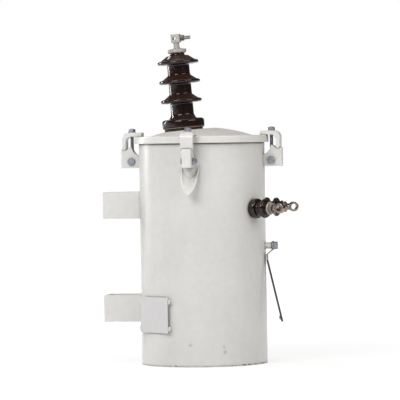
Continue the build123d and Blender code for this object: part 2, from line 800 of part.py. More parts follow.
# Bent copper strap, which kinks in under the boss, hangs and then slants out to its captive nut
strap_section = radial_plane(270)
strap_kink = (tank_radius + strap_gap, boss_height - strap_knee_drop - strap_kink_drop)
strap_turn = (strap_kink[0], strap_kink[1] - strap_hang)
strap_end = (tank_radius + strap_end_reach, boss_height - strap_end_drop)
strap_slant = atan2(strap_end[0] - strap_turn[0], strap_turn[1] - strap_end[1])
strap_nut_middle = (
    strap_end[0] - strap_nut_inset * sin(strap_slant),
    strap_end[1] + strap_nut_inset * cos(strap_slant),
)
strap_nut_plane = Plane(
    origin=strap_section.from_local_coords((*strap_nut_middle, 0)),
    x_dir=(1, 0, 0),
    z_dir=(0, cos(strap_slant), -sin(strap_slant)),
)
with BuildPart() as ground_strap:
    with BuildSketch(strap_section):
        with BuildLine():
            FilletPolyline(
                (strap_line, boss_height + strap_top_height),
                (strap_line, boss_height - strap_knee_drop),
                strap_kink,
                strap_turn,
                strap_end,
                radius=strap_bend_radius,
            )
        trace(line_width=strap_thickness)
    extrude(amount=strap_width / 2, both=True)
    with BuildSketch(wall_plane(270, boss_height, boss_face)):
        Circle(ground_bolt_radius + bolt_clearance)
    extrude(amount=strap_thickness, mode=Mode.SUBTRACT)
    with BuildSketch(strap_nut_plane):
        Circle(strap_nut_bore)
    extrude(amount=strap_thickness, both=True, mode=Mode.SUBTRACT)
ground_strap.part.label = "ground_strap"
export_step(ground_strap.part, "parts/ground_strap.step")

with BuildPart() as ground_strap_nut:
    with BuildSketch(strap_nut_plane.offset(strap_thickness / 2)):
        RegularPolygon(strap_nut_size / 2, 6, major_radius=False)
        Circle(strap_nut_bore, mode=Mode.SUBTRACT)
    extrude(amount=strap_nut_height)
ground_strap_nut.part.label = "ground_strap_nut"
export_step(ground_strap_nut.part, "parts/ground_strap_nut.step")
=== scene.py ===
"""Finishes the pole mounted transformer: surfaces, welds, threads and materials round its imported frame.

Metres, +Z up. The low-voltage side faces -Y, the pole hangers face +Y and the lifting lugs are on
the X axis. Sizes that the frame holds are read from its nodes, and each class adds its own details.
"""

import logging
from collections.abc import Callable, Sequence
from dataclasses import dataclass
from enum import Enum
from math import ceil, cos, pi, radians, sin, sqrt, tan

import bmesh
import bpy
from mathutils import Matrix, Vector


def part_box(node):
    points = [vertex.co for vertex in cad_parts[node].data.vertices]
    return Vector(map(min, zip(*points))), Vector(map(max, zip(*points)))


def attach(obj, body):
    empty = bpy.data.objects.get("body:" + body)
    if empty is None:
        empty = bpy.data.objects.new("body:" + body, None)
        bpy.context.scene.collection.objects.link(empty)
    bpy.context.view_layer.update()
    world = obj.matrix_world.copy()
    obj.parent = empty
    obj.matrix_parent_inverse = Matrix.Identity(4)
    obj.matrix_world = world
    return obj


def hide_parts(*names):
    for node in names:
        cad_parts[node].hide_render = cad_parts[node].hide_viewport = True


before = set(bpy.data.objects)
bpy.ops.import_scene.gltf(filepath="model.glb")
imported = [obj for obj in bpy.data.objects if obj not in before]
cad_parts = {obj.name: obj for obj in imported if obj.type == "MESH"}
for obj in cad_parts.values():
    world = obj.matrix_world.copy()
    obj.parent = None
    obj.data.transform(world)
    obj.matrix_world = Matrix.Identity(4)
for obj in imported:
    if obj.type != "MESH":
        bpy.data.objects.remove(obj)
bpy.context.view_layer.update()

LOG = logging.getLogger("transformer")
MERGE = 1e-6
CRISP_ANGLE = radians(40)
WALL_MARGIN = 0.0004
TANK_STEPS = 192
UP = Vector((0, 0, 1))
UPRIGHT = Matrix.Identity(4)

Mesh = bmesh.types.BMesh
Socket = bpy.types.NodeSocket
Edge = bmesh.types.BMEdge
Node = bpy.types.Node
Corner = Sequence[float]
Colour = tuple[float, float, float, float]


class Cut(Enum):
    """How one solid changes another."""

    TAKE_AWAY = "DIFFERENCE"
    JOIN = "UNION"
    KEEP_COMMON = "INTERSECT"


class Side(Enum):
    """Compass of the tank: where a fitting stands round it, in degrees from +X."""

    RIGHT = 0
    BACK = 90
    LEFT = 180
    FRONT = 270

    @property
    def node_end(self) -> str:
        """The word that ends the frame's node names on this side."""
        return self.name.lower()

    @property
    def outward(self) -> Vector:
        """Level direction from the tank's axis to this side."""
        return outward_at(self.value)


def outward_at(angle: float) -> Vector:
    """Level direction away from the tank's axis, at an angle in degrees from +X."""
    return Vector((cos(radians(angle)), sin(radians(angle)), 0))


def on_circle(radius: float, turn: float) -> Vector:
    """Flat point of a circle round the origin, at a turn in radians."""
    return Vector((radius * cos(turn), radius * sin(turn)))


def placing_of(origin: Vector, x_way: Vector, y_way: Vector) -> Matrix:
    """Placing with a given origin and two of its axes.

    Args:
        origin: Where the placing's zero point goes.
        x_way: Direction of its X axis.
        y_way: Direction of its Y axis, square to the first.

    Returns:
        The placing, with Z completing a right-handed set.
    """
    x_way, y_way = x_way.normalized(), y_way.normalized()
    turned = Matrix((x_way, y_way, x_way.cross(y_way))).transposed().to_4x4()
    return Matrix.Translation(origin) @ turned


def radial_placing(angle: float) -> Matrix:
    """Upright plane through the tank's axis: X outward at an angle in degrees, Y up, Z sideways."""
    return placing_of(Vector((0, 0, 0)), outward_at(angle), UP)


def wall_placing(angle: float, height: float, distance: float) -> Matrix:
    """Plane square to a radius of the tank, at a distance from its axis: X sideways, Y up, Z outward."""
    outward = outward_at(angle)
    return placing_of(outward * distance + UP * height, UP.cross(outward), UP)


def upright_placing(angle: float, distance: float, height: float) -> Matrix:
    """Level plane at a distance from the tank's axis: X outward, Y sideways, Z up."""
    outward = outward_at(angle)
    return placing_of(outward * distance + UP * height, outward, UP.cross(outward))


def heading(points: Sequence[Vector], index: int, looped: bool = False) -> Vector:
    """Direction of a path at one of its points.

    Args:
        points: The path's points.
        index: Which of them.
        looped: Whether the last point joins the first.

    Returns:
        The direction from the point before to the point after.
    """
    count = len(points)
    before, after = max(0, index - 1), min(count - 1, index + 1)
    if looped:
        before, after = (index - 1) % count, (index + 1) % count
    return (points[after] - points[before]).normalized()


def arc_points(centre: Vector, start: Vector, end: Vector, steps: int) -> list[Vector]:
    """Points of the shorter arc between two points.

    Args:
        centre: Centre of the arc.
        start: Where it starts.
        end: Where it ends.
        steps: Number of straight pieces.

    Returns:
        The points, both ends included.
    """
    first, last = start - centre, end - centre
    radius = first.length
    ways = [first.slerp(last, step / steps) for step in range(steps + 1)]
    return [centre + way.normalized() * radius for way in ways]


def bulging_arc(start: Vector, end: Vector, radius: float, steps: int) -> list[Vector]:
    """Points of an arc that bulges to the left of the way from start to end.

    Args:
        start: Where it starts.
        end: Where it ends.
        radius: Its radius.
        steps: Number of straight pieces.

    Returns:
        The points, both ends included.
    """
    chord = end - start
    left = Vector((-chord.y, chord.x)).normalized()
    centre = (start + end) / 2 - left * sqrt(radius**2 - chord.length_squared / 4)
    return arc_points(centre, start, end, steps)


def rounded(corners: Sequence[Corner], closed: bool = True, steps: int = 5) -> list[Vector]:
    """Outline whose corners are rounded where they name a radius.

    Args:
        corners: The corners in order, each (x, y) or (x, y, radius).
        closed: Whether the last corner joins the first.
        steps: Number of straight pieces in each rounding.

    Returns:
        The outline's points in order.
    """
    points = []
    last = len(corners) - 1
    for index, (x, y, *rounding) in enumerate(corners):
        here = Vector((x, y))
        if not any(rounding) or (not closed and index in (0, last)):
            points.append(here)
            continue
        back = (Vector(corners[index - 1][:2]) - here).normalized()
        ahead = (Vector(corners[(index + 1) % len(corners)][:2]) - here).normalized()
        half = back.angle(ahead) / 2
        reach = rounding[0] / tan(half)
        centre = here + (back + ahead).normalized() * rounding[0] / sin(half)
        points += arc_points(centre, here + back * reach, here + ahead * reach, steps)
    return points


def rectangle(width: float, height: float, corner: float, middle: float = 0.0) -> list[Corner]:
    """Outline of an upright panel with rounded corners, and its middle at a height."""
    wide, low, high = width / 2, middle - height / 2, middle + height / 2
    return [(-wide, low, corner), (wide, low, corner), (wide, high, corner), (-wide, high, corner)]


def swept(profile: Sequence[Vector], steps: int, closed: bool = False, climb: float = 0.0) -> Mesh:
    """Profile carried once round the Z axis.

    Args:
        profile: Points (radius, height) in order.
        steps: Number of faces round it.
        closed: Whether the last point joins the first.
        climb: How far each step climbs, as on a thread.

    Returns:
        The mesh, with its doubles merged.
    """
    mesh = bmesh.new()
    corners = [mesh.verts.new((point.x, 0, point.y)) for point in profile]
    followers = corners[1:] + corners[:1] if closed else corners[1:]
    edges = [mesh.edges.new(pair) for pair in zip(corners, followers)]
    bmesh.ops.spin(
        mesh, geom=corners + edges, cent=(0, 0, 0), axis=(0, 0, 1), dvec=(0, 0, climb),
        angle=2 * pi, steps=steps, use_merge=climb == 0, use_duplicate=False,
    )
    bmesh.ops.remove_doubles(mesh, verts=mesh.verts, dist=MERGE)
    return mesh


def settled(mesh: Mesh, placing: Matrix) -> Mesh:
    """Turns a mesh's faces outward and moves it to its place.

    Args:
        mesh: The mesh, which is changed.
        placing: Where it goes.

    Returns:
        The same mesh.
    """
    bmesh.ops.recalc_face_normals(mesh, faces=mesh.faces)
    bmesh.ops.transform(mesh, matrix=placing, verts=mesh.verts)
    return mesh


def spun(
    corners: Sequence[Corner], placing: Matrix, steps: int = 96, closed: bool = False, arcs: int = 5
) -> Mesh:
    """Turned solid.

    Args:
        corners: Its profile, each corner (radius, distance along the axis) or with a rounding third.
        placing: Where it goes; its Z is the axis.
        steps: Number of faces round it.
        closed: Whether the last corner joins the first, as on a ring.
        arcs: Number of straight pieces in each rounding.

    Returns:
        The solid's mesh.
    """
    mesh = swept(rounded(corners, closed, arcs), steps, closed)
    bmesh.ops.dissolve_degenerate(mesh, edges=mesh.edges, dist=MERGE)
    return settled(mesh, placing)


def cylinder(
    radius: float, low: float, high: float, placing: Matrix, steps: int = 40, edge: float = 0, arcs: int = 5
) -> Mesh:
    """Rod or disc about the placing's Z, from a low to a high distance, with its edges rounded or plain."""
    return spun([(0, low), (radius, low, edge), (radius, high, edge), (0, high)], placing, steps, arcs=arcs)


def flat_ring(
    inner: float, outer: float, low: float, high: float, placing: Matrix, roundings: tuple[float, float],
    steps: int = 96, arcs: int = 4,
) -> Mesh:
    """Ring, washer or gasket, rounded on its outer edge at the low and at the high end."""
    profile = [(inner, low), (outer, low, roundings[0]), (outer, high, roundings[1]), (inner, high)]
    return spun(profile, placing, steps, closed=True, arcs=arcs)


def vertices_of(geometry: Sequence[object]) -> list[bmesh.types.BMVert]:
    """The vertices among what an operator made."""
    return [item for item in geometry if isinstance(item, bmesh.types.BMVert)]


def open_edges(mesh: Mesh) -> list[Edge]:
    """The edges that have a face on one side only."""
    return [edge for edge in mesh.edges if edge.is_boundary]


def prism(corners: Sequence[Corner], placing: Matrix, low: float, high: float, arcs: int = 5) -> Mesh:
    """Solid with one outline from end to end.

    Args:
        corners: The outline on the placing's X and Y, each corner with or without a rounding third.
        placing: Where it goes.
        low: Where it starts along the placing's Z.
        high: Where it ends.
        arcs: Number of straight pieces in each rounding.

    Returns:
        The solid's mesh.
    """
    mesh = bmesh.new()
    start = placing @ Matrix.Translation((0, 0, low))
    face = mesh.faces.new([mesh.verts.new(start @ point.to_3d()) for point in rounded(corners, steps=arcs)])
    moved = vertices_of(bmesh.ops.extrude_face_region(mesh, geom=[face])["geom"])
    bmesh.ops.translate(mesh, verts=moved, vec=placing.to_3x3() @ Vector((0, 0, high - low)))
    bmesh.ops.recalc_face_normals(mesh, faces=mesh.faces)
    return mesh


def bisected(mesh: Mesh, point: Sequence[float], square: Sequence[float], keep_both: bool = False) -> Mesh:
    """Cuts a mesh along a plane, and deletes the half that its normal points to or keeps both."""
    bmesh.ops.bisect_plane(
        mesh, geom=mesh.verts[:] + mesh.edges[:] + mesh.faces[:], plane_co=point, plane_no=square,
        clear_outer=not keep_both,
    )
    return mesh


def sharp_edges(mesh: Mesh) -> list[Edge]:
    """The edges whose two faces meet at more than the crisp angle."""
    return [edge for edge in mesh.edges if len(edge.link_faces) == 2 and edge.calc_face_angle() > CRISP_ANGLE]


def soften(mesh: Mesh, width: float, segments: int, edges: Sequence[Edge] | None = None) -> Mesh:
    """Rounds over some of a mesh's edges, or every sharp one, and gives the mesh back."""
    bmesh.ops.bevel(
        mesh, geom=sharp_edges(mesh) if edges is None else edges, offset=width, offset_type="OFFSET",
        segments=segments, profile=0.5, affect="EDGES", clamp_overlap=True, material=-1,
    )
    return mesh


def soften_off_wall(mesh: Mesh, tank_radius: float, width: float, segments: int) -> Mesh:
    """Rounds over the sharp edges that don't lie on the tank's wall."""
    touching = tank_radius + WALL_MARGIN
    return soften(mesh, width, segments, [
        edge for edge in sharp_edges(mesh) if min(vert.co.xy.length for vert in edge.verts) > touching
    ])


def mesh_data(name: str, mesh: Mesh) -> bpy.types.Mesh:
    """Writes a mesh to a data block and uses it up.

    Args:
        name: The block's name.
        mesh: The mesh.

    Returns:
        The data block.
    """
    data = bpy.data.meshes.new(name)
    mesh.to_mesh(data)
    mesh.free()
    return data


def in_scene(name: str, data: bpy.types.ID) -> bpy.types.Object:
    """Puts a new object in the scene.

    Args:
        name: Its name.
        data: Its data block.

    Returns:
        The object.
    """
    made = bpy.data.objects.new(name, data)
    bpy.context.scene.collection.objects.link(made)
    return made


def shaped(base: Mesh, tool: Mesh, cut: Cut = Cut.TAKE_AWAY) -> Mesh:
    """Cuts, joins or intersects two solids, and uses both up.

    Args:
        base: The solid to change.
        tool: The solid to change it with.
        cut: What to do with the two.

    Returns:
        The resulting mesh.
    """
    objects = [in_scene("cutting", mesh_data("cutting", mesh)) for mesh in (base, tool)]
    cutting = objects[0].modifiers.new("cut", "BOOLEAN")
    cutting.operation = cut.value
    cutting.solver = "EXACT"
    cutting.object = objects[1]
    graph = bpy.context.evaluated_depsgraph_get()
    graph.update()
    result = bpy.data.meshes.new_from_object(objects[0].evaluated_get(graph))
    mesh = bmesh.new()
    mesh.from_mesh(result)
    for item in objects:
        data = item.data
        bpy.data.objects.remove(item)
        bpy.data.meshes.remove(data)
    bpy.data.meshes.remove(result)
    bmesh.ops.remove_doubles(mesh, verts=mesh.verts, dist=MERGE)
    return mesh


def coped(mesh: Mesh, tank_radius: float, height: float) -> Mesh:
    """Trims a fitting to the tank's round wall, up to a height."""
    return shaped(mesh, cylinder(tank_radius, 0, height, UPRIGHT, TANK_STEPS))


def together(*meshes: Mesh) -> Mesh:
    """Puts several meshes in one, and uses them up.

    Args:
        meshes: The meshes.

    Returns:
        One mesh that holds them all.
    """
    whole = bmesh.new()
    for mesh in meshes:
        data = mesh_data("part", mesh)
        whole.from_mesh(data)
        bpy.data.meshes.remove(data)
    return whole


def hexagon(size: float, low: float, high: float, placing: Matrix) -> Mesh:
    """Hexagonal nut or bolt head with both ends chamfered.

    Args:
        size: Width across flats.
        low: Where it starts along the placing's Z.
        high: Where it ends.
        placing: Where it goes.

    Returns:
        The mesh.
    """
    corner = size / sqrt(3)
    face = size / 2 * 0.98
    drop = (corner - size / 2) * tan(radians(30)) * 1.15
    blank = prism([on_circle(corner, pi / 3 * side) for side in range(6)], placing, low, high)
    cone = [(0, low), (face, low), (corner, low + drop), (corner, high - drop), (face, high), (0, high)]
    return shaped(blank, spun(cone, placing, 48), Cut.KEEP_COMMON)


def threaded_rod(radius: float, low: float, high: float, pitch: float, placing: Matrix) -> Mesh:
    """Rod with a rolled thread from end to end.

    Args:
        radius: Outer radius of the thread.
        low: Where it starts along the placing's Z.
        high: Where it ends.
        pitch: Distance from one turn to the next.
        placing: Where it goes.

    Returns:
        The mesh, with its ends closed and its high end chamfered.
    """
    depth = 0.54 * pitch
    chamfer = 0.9 * depth
    tooth = ((radius - depth, 0), (radius, 0.42), (radius, 0.56), (radius - depth, 0.98))
    profile = []
    for turn in range(ceil((high - low) / pitch) + 2):
        start = low + (turn - 1) * pitch
        profile += [Vector((out, start + share * pitch)) for out, share in tooth]
    steps = 20
    mesh = swept(profile, steps, climb=pitch / steps)
    for height, way in ((low, -1), (high, 1)):
        bisected(mesh, (0, 0, height), (0, 0, way))
    for vert in mesh.verts:
        limit = radius - max(0.0, chamfer - (high - vert.co.z))
        flat = vert.co.xy.length
        if flat > limit:
            vert.co.xy *= limit / flat
    bmesh.ops.holes_fill(mesh, edges=open_edges(mesh), sides=0)
    return settled(mesh, placing)


@dataclass(frozen=True)
class WeldBead:
    """Rippled bead of weld metal that follows a path."""

    radius: float = 0.0028
    ripple: float = 0.0024
    swell: float = 0.10
    ripple_shape: tuple[float, ...] = (0.0, 1.0, 0.6, 0.2)
    fewest_ripples: int = 4
    end_size: float = 0.55
    sides: int = 10

    def along(self, path: Sequence[Vector], looped: bool = False) -> Mesh:
        """Lays the bead.

        Args:
            path: Points that the middle of the bead follows.
            looped: Whether the last point joins the first.

        Returns:
            The bead's mesh.
        """
        stations = self.stations(path, looped)
        placings = [self.placing_at(stations, index, looped) for index in range(len(stations))]
        mesh = bmesh.new()
        ring = bmesh.ops.create_circle(mesh, cap_ends=False, segments=self.sides, radius=self.radius)["verts"]
        bmesh.ops.transform(mesh, matrix=placings[0], verts=ring)
        for before, after in zip(placings, placings[1:]):
            rim = [edge for vert in ring for edge in vert.link_edges if edge.other_vert(vert) in ring]
            grown = bmesh.ops.extrude_edge_only(mesh, edges=list(dict.fromkeys(rim)))
            ring = vertices_of(grown["geom"])
            bmesh.ops.transform(mesh, matrix=after @ before.inverted(), verts=ring)
        if looped:
            bmesh.ops.bridge_loops(mesh, edges=open_edges(mesh))
        else:
            bmesh.ops.holes_fill(mesh, edges=open_edges(mesh), sides=0)
        bmesh.ops.recalc_face_normals(mesh, faces=mesh.faces)
        return mesh

    def pair(self, placing: Matrix, across: float, out: float, low: float, high: float) -> Mesh:
        """Two upright beads, one on each side of a fitting's section, from a low to a high level."""
        lines = [[placing @ Vector((out, end, way * across)) for end in (low, high)] for way in (-1, 1)]
        return together(*(self.along(line) for line in lines))

    def stations(self, path: Sequence[Vector], looped: bool) -> list[Vector]:
        """Even steps along a path, as many to a ripple as its shape has sizes.

        Args:
            path: The path's points.
            looped: Whether it closes on itself.

        Returns:
            Points an even distance apart.
        """
        points = list(path) + ([path[0]] if looped else [])
        lengths = [0.0]
        for here, there in zip(points, points[1:]):
            lengths.append(lengths[-1] + (there - here).length)
        count = max(self.fewest_ripples, round(lengths[-1] / self.ripple)) * len(self.ripple_shape)
        made = []
        piece = 0
        for step in range(count if looped else count + 1):
            along = lengths[-1] * step / count
            while piece < len(points) - 2 and lengths[piece + 1] < along:
                piece += 1
            share = (along - lengths[piece]) / (lengths[piece + 1] - lengths[piece])
            made.append(points[piece].lerp(points[piece + 1], share))
        return made

    def placing_at(self, stations: Sequence[Vector], index: int, looped: bool) -> Matrix:
        """Where the bead's section stands at one station.

        Args:
            stations: All the stations.
            index: Which of them.
            looped: Whether the bead closes on itself.

        Returns:
            A placing whose Z follows the bead, scaled by its ripple.
        """
        way = heading(stations, index, looped)
        nearly_upright = abs(way.z) >= 0.9
        side = (way.orthogonal() if nearly_upright else way.cross(UP)).normalized()
        size = 1 + self.swell * self.ripple_shape[index % len(self.ripple_shape)]
        if not looped and index in (0, len(stations) - 1):
            size *= self.end_size
        return placing_of(stations[index], side, way.cross(side)) @ Matrix.Scale(size, 4)


class Sheet:
    """A node tree that is being drawn up."""

    def __init__(self, tree: bpy.types.NodeTree) -> None:
        """Takes the tree to draw in."""
        self.tree = tree

    def feed(self, socket: Socket, value: object) -> None:
        """Gives an input its value.

        Args:
            socket: The input.
            value: A plain value, or the output that feeds it.
        """
        if isinstance(value, Socket):
            self.tree.links.new(value, socket)
        else:
            socket.default_value = value

    def add(self, kind: str, inputs: dict | None = None, **settings: object) -> Node:
        """Adds a node.

        Args:
            kind: The node's type, without its leading ShaderNode.
            inputs: Its inputs by name or number, each with a plain value or the output that feeds it.
            settings: Its own settings.

        Returns:
            The node.
        """
        node = self.tree.nodes.new(f"ShaderNode{kind}")
        for setting, value in settings.items():
            setattr(node, setting, value)
        for key, value in (inputs or {}).items():
            self.feed(node.inputs[key], value)
        return node

    def maths(self, operation: str, *values: object) -> Socket:
        """Adds a Math node for an operation on some values, and gives its output."""
        return self.add("Math", dict(enumerate(values)), operation=operation).outputs[0]

    def times(self, first: object, second: object) -> Socket:
        """Product of two values."""
        return self.maths("MULTIPLY", first, second)

    def more(self, base: object, mask: object, share: object) -> Socket:
        """A value with a share of a mask added to it."""
        return self.maths("MULTIPLY_ADD", mask, share, base)

    def spread(
        self, value: object, low: float, high: float, out_low: float = 0.0, out_high: float = 1.0
    ) -> Socket:
        """Adds a Map Range node that eases a value between two ends, and gives its result."""
        ends = {"Value": value, "From Min": low, "From Max": high, "To Min": out_low, "To Max": out_high}
        return self.add("MapRange", ends, interpolation_type="SMOOTHSTEP").outputs["Result"]

    def blend(self, factor: object, first: object, second: object, way: str = "MIX") -> Socket:
        """Adds a mix of two colours, by the share of the second, and gives its result."""
        inputs = {0: factor, 6: first, 7: second}
        return self.add("Mix", inputs, data_type="RGBA", blend_type=way).outputs[2]

    def measure(self, operation: str, *vectors: object) -> Socket:
        """Adds a Vector Math node that measures some vectors, and gives its value."""
        return self.add("VectorMath", dict(enumerate(vectors)), operation=operation).outputs["Value"]

    def even(self, level: Socket) -> Socket:
        """Grey colour of a level."""
        return self.add("CombineColor", dict.fromkeys(range(3), level)).outputs[0]

    def toned(self, colour: Colour, tone: Socket) -> Socket:
        """Colour times a tone."""
        return self.blend(1.0, colour, self.even(tone), "MULTIPLY")

    def spot(self) -> Socket:
        """Object coordinates of the place that is shaded."""
        return self.add("TexCoord").outputs["Object"]

    def open_sky(self, reach: Socket) -> Socket:
        """How open the surroundings are within a reach, from 0 in a deep corner to 1."""
        return self.add("AmbientOcclusion", {"Distance": reach}, samples=8).outputs["AO"]

    def upward(self) -> Socket:
        """How far the surface looks up, from -1 to 1."""
        return self.add("SeparateXYZ", {"Vector": self.add("NewGeometry").outputs["Normal"]}).outputs["Z"]

    def noise(
        self, place: Socket, scale: object, detail: float = 2.0, roughness: float = 0.5,
        seed: Socket | None = None,
    ) -> Socket:
        """Adds a Noise Texture node.

        Args:
            place: Coordinates that it reads.
            scale: Its scale.
            detail: Its detail.
            roughness: Its roughness.
            seed: What moves it to another pattern, or None for a pattern without a seed.

        Returns:
            Its value.
        """
        inputs = {"Vector": place, "Scale": scale, "Detail": detail, "Roughness": roughness}
        if seed is None:
            return self.add("TexNoise", inputs).outputs[0]
        return self.add("TexNoise", inputs | {"W": seed}, noise_dimensions="4D").outputs[0]

    def place(self, effect: "Effect", **values: object) -> Socket:
        """Places a shared effect with its own values.

        Args:
            effect: Which effect.
            values: Its inputs, with underscores for spaces.

        Returns:
            What the effect puts out.
        """
        node = self.add("Group", node_tree=effect_group(effect))
        for name, value in values.items():
            self.feed(node.inputs[name.replace("_", " ")], value)
        return node.outputs[0]


class Effect(Enum):
    """Surface effects that several finishes share."""

    MOTTLE = "mottle"
    STREAKS = "rain streaks"
    EDGES = "worn edges"
    # Inner corners found by ambient occlusion: grime, and painted shade where light can't reach.
    CREVICES = "grime in crevices"
    DUST = "settled dust"
    SKIN = "skin of paint"


Given = dict[str, Socket]


@dataclass(frozen=True)
class Recipe:
    """How an effect is made: its inputs with their usual values, its output and what draws it."""

    inputs: dict[str, float]
    output: str
    draw: Callable[[Sheet, Given], Socket]


def draw_mottle(sheet: Sheet, given: Given) -> Socket:
    """Draws a cloudy change of tone, round 1."""
    clouds = sheet.spread(sheet.noise(sheet.spot(), given["Scale"], 5.0, 0.55, given["Seed"]), 0.3, 0.7)
    return sheet.more(1.0, sheet.maths("SUBTRACT", clouds, 0.5), sheet.times(given["Amount"], 2.0))


def draw_streaks(sheet: Sheet, given: Given) -> Socket:
    """Draws a mask of long upright streaks, as rain leaves them."""
    drawn = sheet.add("Mapping", {"Vector": sheet.spot(), "Scale": (1.0, 1.0, 0.06)}).outputs["Vector"]
    return sheet.spread(sheet.noise(drawn, given["Fineness"], 4.0, 0.6, given["Seed"]), 0.50, 0.78)


def draw_edges(sheet: Sheet, given: Given) -> Socket:
    """Draws a mask of worn outer edges, broken up by a fine noise.

    Args:
        sheet: The effect's sheet.
        given: Its inputs by name.

    Returns:
        The mask.
    """
    turned = sheet.add("Bevel", {"Radius": given["Width"]}, samples=4).outputs["Normal"]
    plain = sheet.add("NewGeometry").outputs["Normal"]
    edge = sheet.spread(sheet.measure("DOT_PRODUCT", turned, plain), 0.995, 0.93)
    grain = sheet.noise(sheet.spot(), given["Grain"], 3.0, 0.6)
    broken = sheet.maths("ADD", grain, sheet.maths("SUBTRACT", given["Wear"], 0.5))
    return sheet.times(edge, sheet.spread(broken, 0.52, 0.60))


def draw_crevices(sheet: Sheet, given: Given) -> Socket:
    """Draws a mask of inner corners from ambient occlusion: grime, and painted shade where light can't reach.
    """
    patchy = sheet.spread(sheet.noise(sheet.spot(), given["Grain"], 4.0), 0.25, 0.7, 0.55)
    return sheet.times(sheet.spread(sheet.open_sky(given["Reach"]), 0.92, 0.45), patchy)


def draw_dust(sheet: Sheet, given: Given) -> Socket:
    """Draws a mask of faces that look up, where dust settles."""
    drifts = sheet.spread(sheet.noise(sheet.spot(), given["Grain"], 6.0, 0.65), 0.3, 0.75, 0.3)
    return sheet.times(sheet.times(sheet.spread(sheet.upward(), 0.35, 0.98), drifts), given["Amount"])


def draw_skin(sheet: Sheet, given: Given) -> Socket:
    """Draws the height of a sprayed or cast skin: a fine peel over a slow wave."""
    wave = sheet.times(sheet.noise(sheet.spot(), given["Wave Scale"], 1.0), given["Wave"])
    return sheet.more(wave, sheet.noise(sheet.spot(), given["Peel Scale"]), given["Peel"])


RECIPES = {
    Effect.MOTTLE: Recipe({"Scale": 8.0, "Amount": 0.05, "Seed": 0.0}, "Tone", draw_mottle),
    Effect.STREAKS: Recipe({"Fineness": 30.0, "Seed": 0.0}, "Mask", draw_streaks),
    Effect.EDGES: Recipe({"Width": 0.0015, "Grain": 250.0, "Wear": 0.5}, "Mask", draw_edges),
    Effect.CREVICES: Recipe({"Reach": 0.012, "Grain": 60.0}, "Mask", draw_crevices),
    Effect.DUST: Recipe({"Amount": 0.5, "Grain": 45.0}, "Mask", draw_dust),
    Effect.SKIN: Recipe(
        {"Peel Scale": 420.0, "Peel": 1.0, "Wave Scale": 9.0, "Wave": 1.0}, "Height", draw_skin
    ),
}


def effect_group(effect: Effect) -> bpy.types.NodeTree:
    """The node group of an effect, drawn up the first time that it is asked for.

    Args:
        effect: Which effect.

    Returns:
        Its node group.
    """
    found = bpy.data.node_groups.get(effect.value)
    if found:
        return found
    recipe = RECIPES[effect]
    tree = bpy.data.node_groups.new(effect.value, "ShaderNodeTree")
    for name, value in recipe.inputs.items():
        made = tree.interface.new_socket(name, in_out="INPUT", socket_type="NodeSocketFloat")
        made.default_value = value
    tree.interface.new_socket(recipe.output, in_out="OUTPUT", socket_type="NodeSocketFloat")
    start = tree.nodes.new("NodeGroupInput").outputs
    end = tree.nodes.new("NodeGroupOutput").inputs
    sheet = Sheet(tree)
    sheet.feed(end[recipe.output], recipe.draw(sheet, {name: start[name] for name in recipe.inputs}))
    return tree


def blank_sheet(owner: bpy.types.Material | bpy.types.World) -> Sheet:
    """Empties the node tree of a material or a world.

    Args:
        owner: The material or the world.

    Returns:
        A sheet to draw its nodes in.
    """
    owner.use_nodes = True
    owner.node_tree.nodes.clear()
    return Sheet(owner.node_tree)


def grey(level: float) -> Colour:
    """Grey of a linear brightness."""
    return (level, level, level, 1.0)


@dataclass(frozen=True)
class Finish:
    """A finish: the record's slot that it stands for, and its main colour."""

    name: str
    slot: str
    colour: Colour

    def material(self) -> bpy.types.Material:
        """The material, made the first time that it is asked for."""
        found = bpy.data.materials.get(self.name)
        if found:
            return found
        made = bpy.data.materials.new(self.name)
        sheet = blank_sheet(made)
        shader = sheet.add("BsdfPrincipled")
        sheet.add("OutputMaterial", {"Surface": shader.outputs["BSDF"]})
        self.draw(sheet, shader)
        return made

    def draw(self, sheet: Sheet, shader: Node) -> None:
        """Draws the finish's nodes; each kind of finish has its own."""
        raise NotImplementedError

    def bump(self, sheet: Sheet, shader: Node, height: Socket, depth: float) -> None:
        """Feeds a height, about 0 to 1, to the shader's normal; a height of 1 stands for the depth."""
        bump = sheet.add("Bump", {"Height": height, "Distance": depth, "Strength": 1.0})
        sheet.feed(shader.inputs["Normal"], bump.outputs["Normal"])


